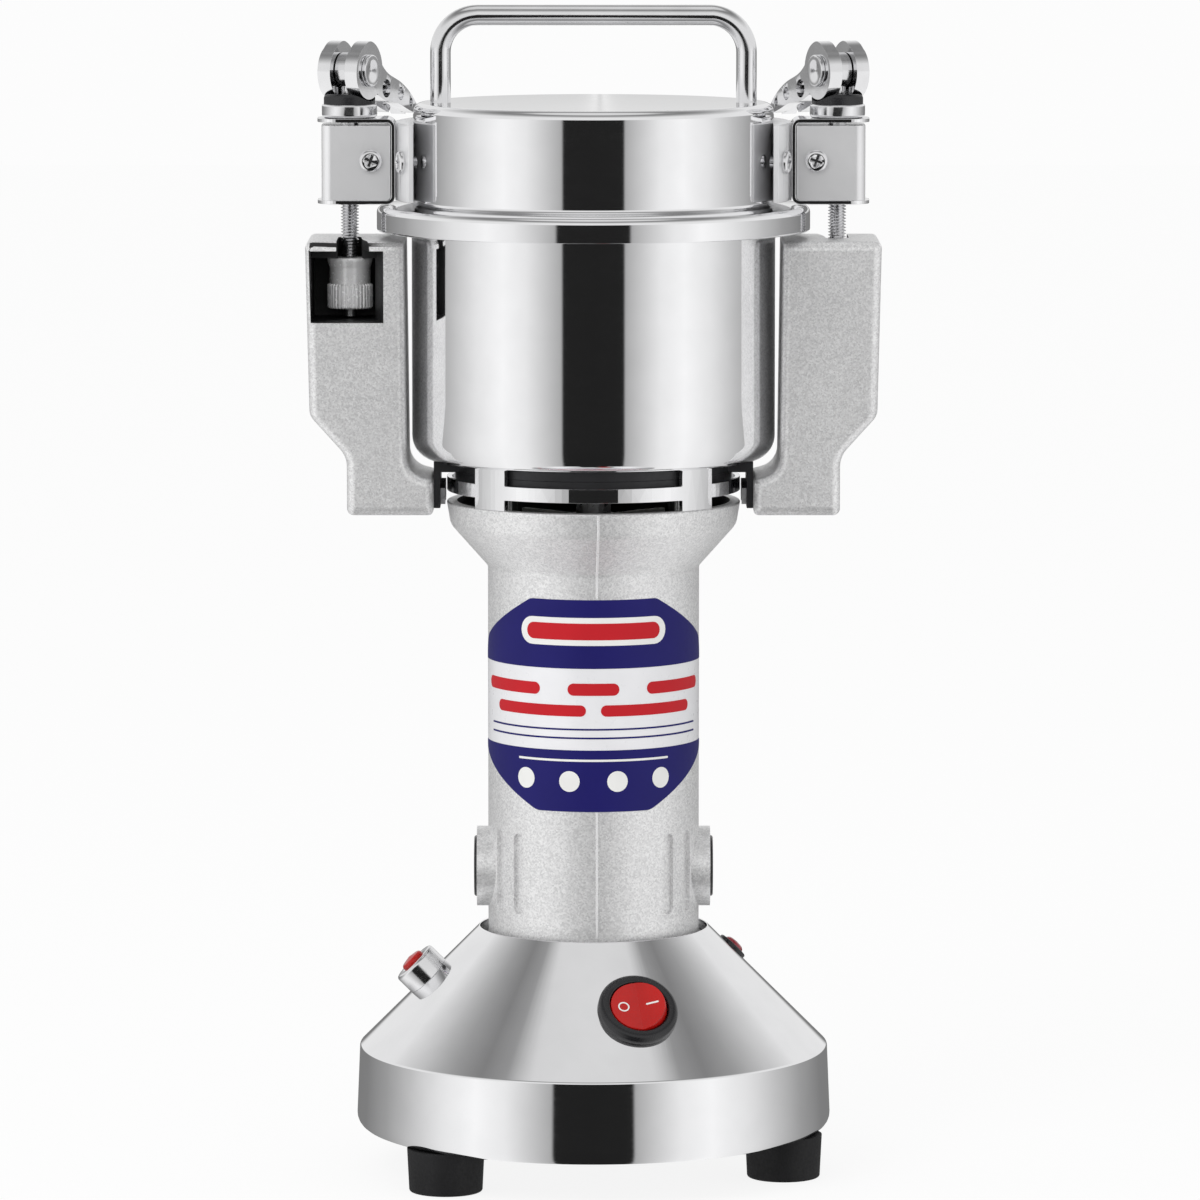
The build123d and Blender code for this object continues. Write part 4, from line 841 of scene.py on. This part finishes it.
def jarOutline(rim):
    # up the outside to the rim, which is given, and down the inside
    hole, radius, floor, wall = [jarParts[key] for key in ("hole", "radius", "floor", "wall")]
    rimRadius, rimCorner = jarParts["rimRadius"], jarParts["rimCorner"]
    floorCorner, neckCorner = jarParts["floorCorner"], jarParts["neckCorner"]
    return (
        (hole, floor), (radius, floor, floorCorner), (radius, rim - wall, neckCorner),
        (rimRadius, rim - wall, rimCorner), (rimRadius, rim, rimCorner),
        (radius - wall, rim, neckCorner + wall), (radius - wall, floor + wall, floorCorner - wall),
        (hole, floor + wall),
    )


def addJar():
    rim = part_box("lid_gasket")[0].z / mm - jarParts["gasketGap"]
    bm = spinOutline(jarOutline(rim), spinSteps["shell"], segments=jarParts["segments"])
    addPiece("jar", toMesh("jar", bm, "polishedSteel"), "base", ["jar"])


addJar()
dressNode("jar_screws", "satinSteel", 0.15)
dressNode("shaft_seal", "blackRubber", 0.15)
dressNode("blade_spacers", "satinSteel", 0.2)
dressNode("lower_blade", "polishedSteel", 0.12)
dressNode("upper_blade", "polishedSteel", 0.12)
dressNode("blade_nut", "satinSteel", 0.15)
print("stage: jar and blades are built")


# lid and handle

lidParts = {
    "shell": (
        (0, 247.6), (41.4, 247.6, 2.0), (41.4, 224.5, 1.0), (49.8, 224.0, 1.5), (49.8, 218.4, 0.5),
        (48.6, 218.4, 0.3), (48.6, 222.8, 0.6), (40.2, 222.8, 0.4), (40.2, 246.4, 0.8), (0, 246.4),
    ),
    "segments": 8,
}


def addLid():
    bm = spinOutline(lidParts["shell"], spinSteps["shell"], closed=False, segments=lidParts["segments"])
    addPiece("lidShell", toMesh("lidShell", bm, "polishedSteel"), "lid", ["lid_shell"])


screws = {
    "blockX": 51.0, "blockFace": 7.0, "blockTurn": 20.0, "level": 234.6, "lugFace": 45.4, "lugTurn": 16.0,
    "head": 1.2, "crossHalf": 1.45, "crossWidth": 0.62, "crossDepth": 0.85,
}


def crossMesh(places):
    # cutter with one upright cross for each screw head
    half, width, depth = screws["crossHalf"], screws["crossWidth"] / 2, screws["crossDepth"]
    points = (
        (-half, -width), (-width, -width), (-width, -half), (width, -half), (width, -width), (half, -width),
        (half, width), (width, width), (width, half), (-width, half), (-width, width), (-half, width),
    )
    bm = bmesh.new()
    for place in places:
        cross = fillOutline(points, 2 * depth, upright=False)
        bmesh.ops.translate(cross, verts=cross.verts, vec=(0, 0, -depth * mm))
        joinMeshes(bm, cross, place)
    return meshFrom("crosses", bm)


def addCrossScrews():
    places = []
    for side in sides.values():
        front = shift(side * screws["blockX"], -(screws["blockFace"] + screws["head"]), screws["level"])
        lean = Matrix.Rotation(radians(screws["blockTurn"]), 4, "Y")
        places.append(front @ lean @ Matrix.Rotation(pi / 2, 4, "X"))
        out = shift(side * (screws["lugFace"] + screws["head"]), 0, screws["level"])
        for turn in (-screws["lugTurn"], screws["lugTurn"]):
            swing = Matrix.Rotation(radians(turn), 4, "Z")
            places.append(swing @ out @ Matrix.Rotation(side * pi / 2, 4, "Y"))
    mesh = cutAway(meshFrom("screws", copyNode("bracket_screws")), crossMesh(places))
    mesh.name = "bracketScrews"
    mesh.materials.clear()
    addPiece("bracketScrews", finishMesh(mesh, "platedSteel"), "lid", ["bracket_screws"])


addLid()
dressNode("lid_gasket", "silicone", 0.1)
dressNode("handle", "platedSteel")
dressNode("handle_nuts", "satinSteel", 0.15)
dressNode("lid_lugs", "satinPlate", 0.15)
dressNode("latch_brackets", "polishedSteel", 0.12)
dressNode("guide_blocks", "satinPlate", 0.15)
addCrossScrews()
dressNode("cup_washers", "platedSteel", 0.1)
dressNode("cam_bushes", "blackPlastic", 0.1)
print("stage: lid is built")


# clamps

thread = {
    "low": 211.6, "high": 225.2, "pitch": 0.7, "root": 1.55, "crest": 2.08, "crestHalf": 0.06,
    "footHalf": 0.34, "overlap": 0.2, "sunk": 0.05, "steps": 24, "sharp": 24, "rodX": 56.0,
}


def closeEnds(bm):
    bmesh.ops.holes_fill(bm, edges=[edge for edge in bm.edges if edge.is_boundary], sides=0)


def cutShank(bm):
    low, high = thread["low"] * mm, thread["high"] * mm
    for level in (low, high):
        bmesh.ops.bisect_plane(bm, geom=bm.verts[:] + bm.edges[:] + bm.faces[:], dist=weld["cut"],
                               plane_co=(0, 0, level), plane_no=(0, 0, 1))
    between = [face for face in bm.faces if low < face.calc_center_median().z < high]
    bmesh.ops.delete(bm, geom=between, context="FACES")
    closeEnds(bm)


def threadCore():
    root, low, high = thread["root"], thread["low"] - thread["overlap"], thread["high"] + thread["overlap"]
    return spinOutline(((0, low), (root, low), (root, high), (0, high)), spinSteps["rodCore"], closed=False)


def threadRidge():
    foot, top, crest, steps = thread["footHalf"], thread["crestHalf"], thread["crest"], thread["steps"]
    inner, start = thread["root"] - thread["sunk"], thread["low"] + foot
    ridge = drawOutline(((inner, start - foot), (crest, start - top), (crest, start + top),
                         (inner, start + foot)))
    bmesh.ops.contextual_create(ridge, geom=ridge.edges[:])
    turns = int((thread["high"] - thread["low"]) / thread["pitch"])
    rise = thread["pitch"] / steps * mm
    bmesh.ops.spin(ridge, geom=ridge.faces[:], cent=(0, 0, 0), axis=(0, 0, 1), dvec=(0, 0, rise),
                   angle=turns * 2 * pi, steps=turns * steps)
    bmesh.ops.remove_doubles(ridge, verts=ridge.verts, dist=weld["cut"])
    bmesh.ops.recalc_face_normals(ridge, faces=ridge.faces)
    return ridge


def addThreadedRod(side):
    # the plain shank is cut out where it shows, and a core with its thread takes its place
    node, name = f"rod_{side}", f"rod{side.capitalize()}"
    bm = copyNode(node)
    cutShank(bm)
    for part in (threadCore(), threadRidge()):
        joinMeshes(bm, part, shift(sides[side] * thread["rodX"], 0, 0))
    addPiece(name, toMesh(name, bm, "boltSteel", thread["sharp"]), bodyOf[node], [node])


nutParts = {
    "barrel": (
        (2.1, 205.9), (4.75, 205.9), (4.75, 209.8, 0.4), (5.25, 211.4, 0.3), (5.25, 212.1, 0.25),
        (2.1, 212.1),
    ),
    "ribs": 36, "ribPoints": 4, "ribTop": 5.25, "ribFoot": 4.92, "low": 200.4, "high": 206.1, "chamfer": 0.35,
}


def knurlRibs():
    top, points, chamfer = nutParts["ribTop"], nutParts["ribPoints"], nutParts["chamfer"]
    low, high = nutParts["low"], nutParts["high"]
    ribs = bmesh.new()
    bmesh.ops.create_circle(ribs, cap_ends=False, segments=points * nutParts["ribs"], radius=top * mm)
    ribs.verts.ensure_lookup_table()
    for place, vert in enumerate(ribs.verts):
        if place % points >= points / 2:
            vert.co *= nutParts["ribFoot"] / top
    inward = 1 - chamfer / top
    bmesh.ops.translate(ribs, verts=ribs.verts, vec=(0, 0, low * mm))
    bmesh.ops.scale(ribs, verts=ribs.verts, vec=(inward, inward, 1))
    loop = ribs.edges[:]
    for rise, widen in ((chamfer, 1 / inward), (high - low - 2 * chamfer, 1), (chamfer, inward)):
        grown = bmesh.ops.extrude_edge_only(ribs, edges=loop)["geom"]
        loop = [item for item in grown if isinstance(item, bmesh.types.BMEdge) and item.is_boundary]
        bmesh.ops.translate(ribs, verts=vertsIn(grown), vec=(0, 0, rise * mm))
        bmesh.ops.scale(ribs, verts=vertsIn(grown), vec=(widen, widen, 1))
    closeEnds(ribs)
    return ribs


def addKnurledNut(side):
    node, name = f"knurled_nut_{side}", f"knurledNut{side.capitalize()}"
    bm = knurlRibs()
    joinMeshes(bm, spinOutline(nutParts["barrel"], spinSteps["nut"]))
    bmesh.ops.translate(bm, verts=bm.verts, vec=(sides[side] * thread["rodX"] * mm, 0, 0))
    addPiece(name, toMesh(name, bm, "nutPlate"), bodyOf[node], [node])


for side in sides:
    addThreadedRod(side)
    dressNode(f"pivot_pin_{side}", "platedSteel", 0.08)
    dressNode(f"cam_lever_{side}", "platedSteel", 0.22)
    addKnurledNut(side)
print("stage: clamps are built")
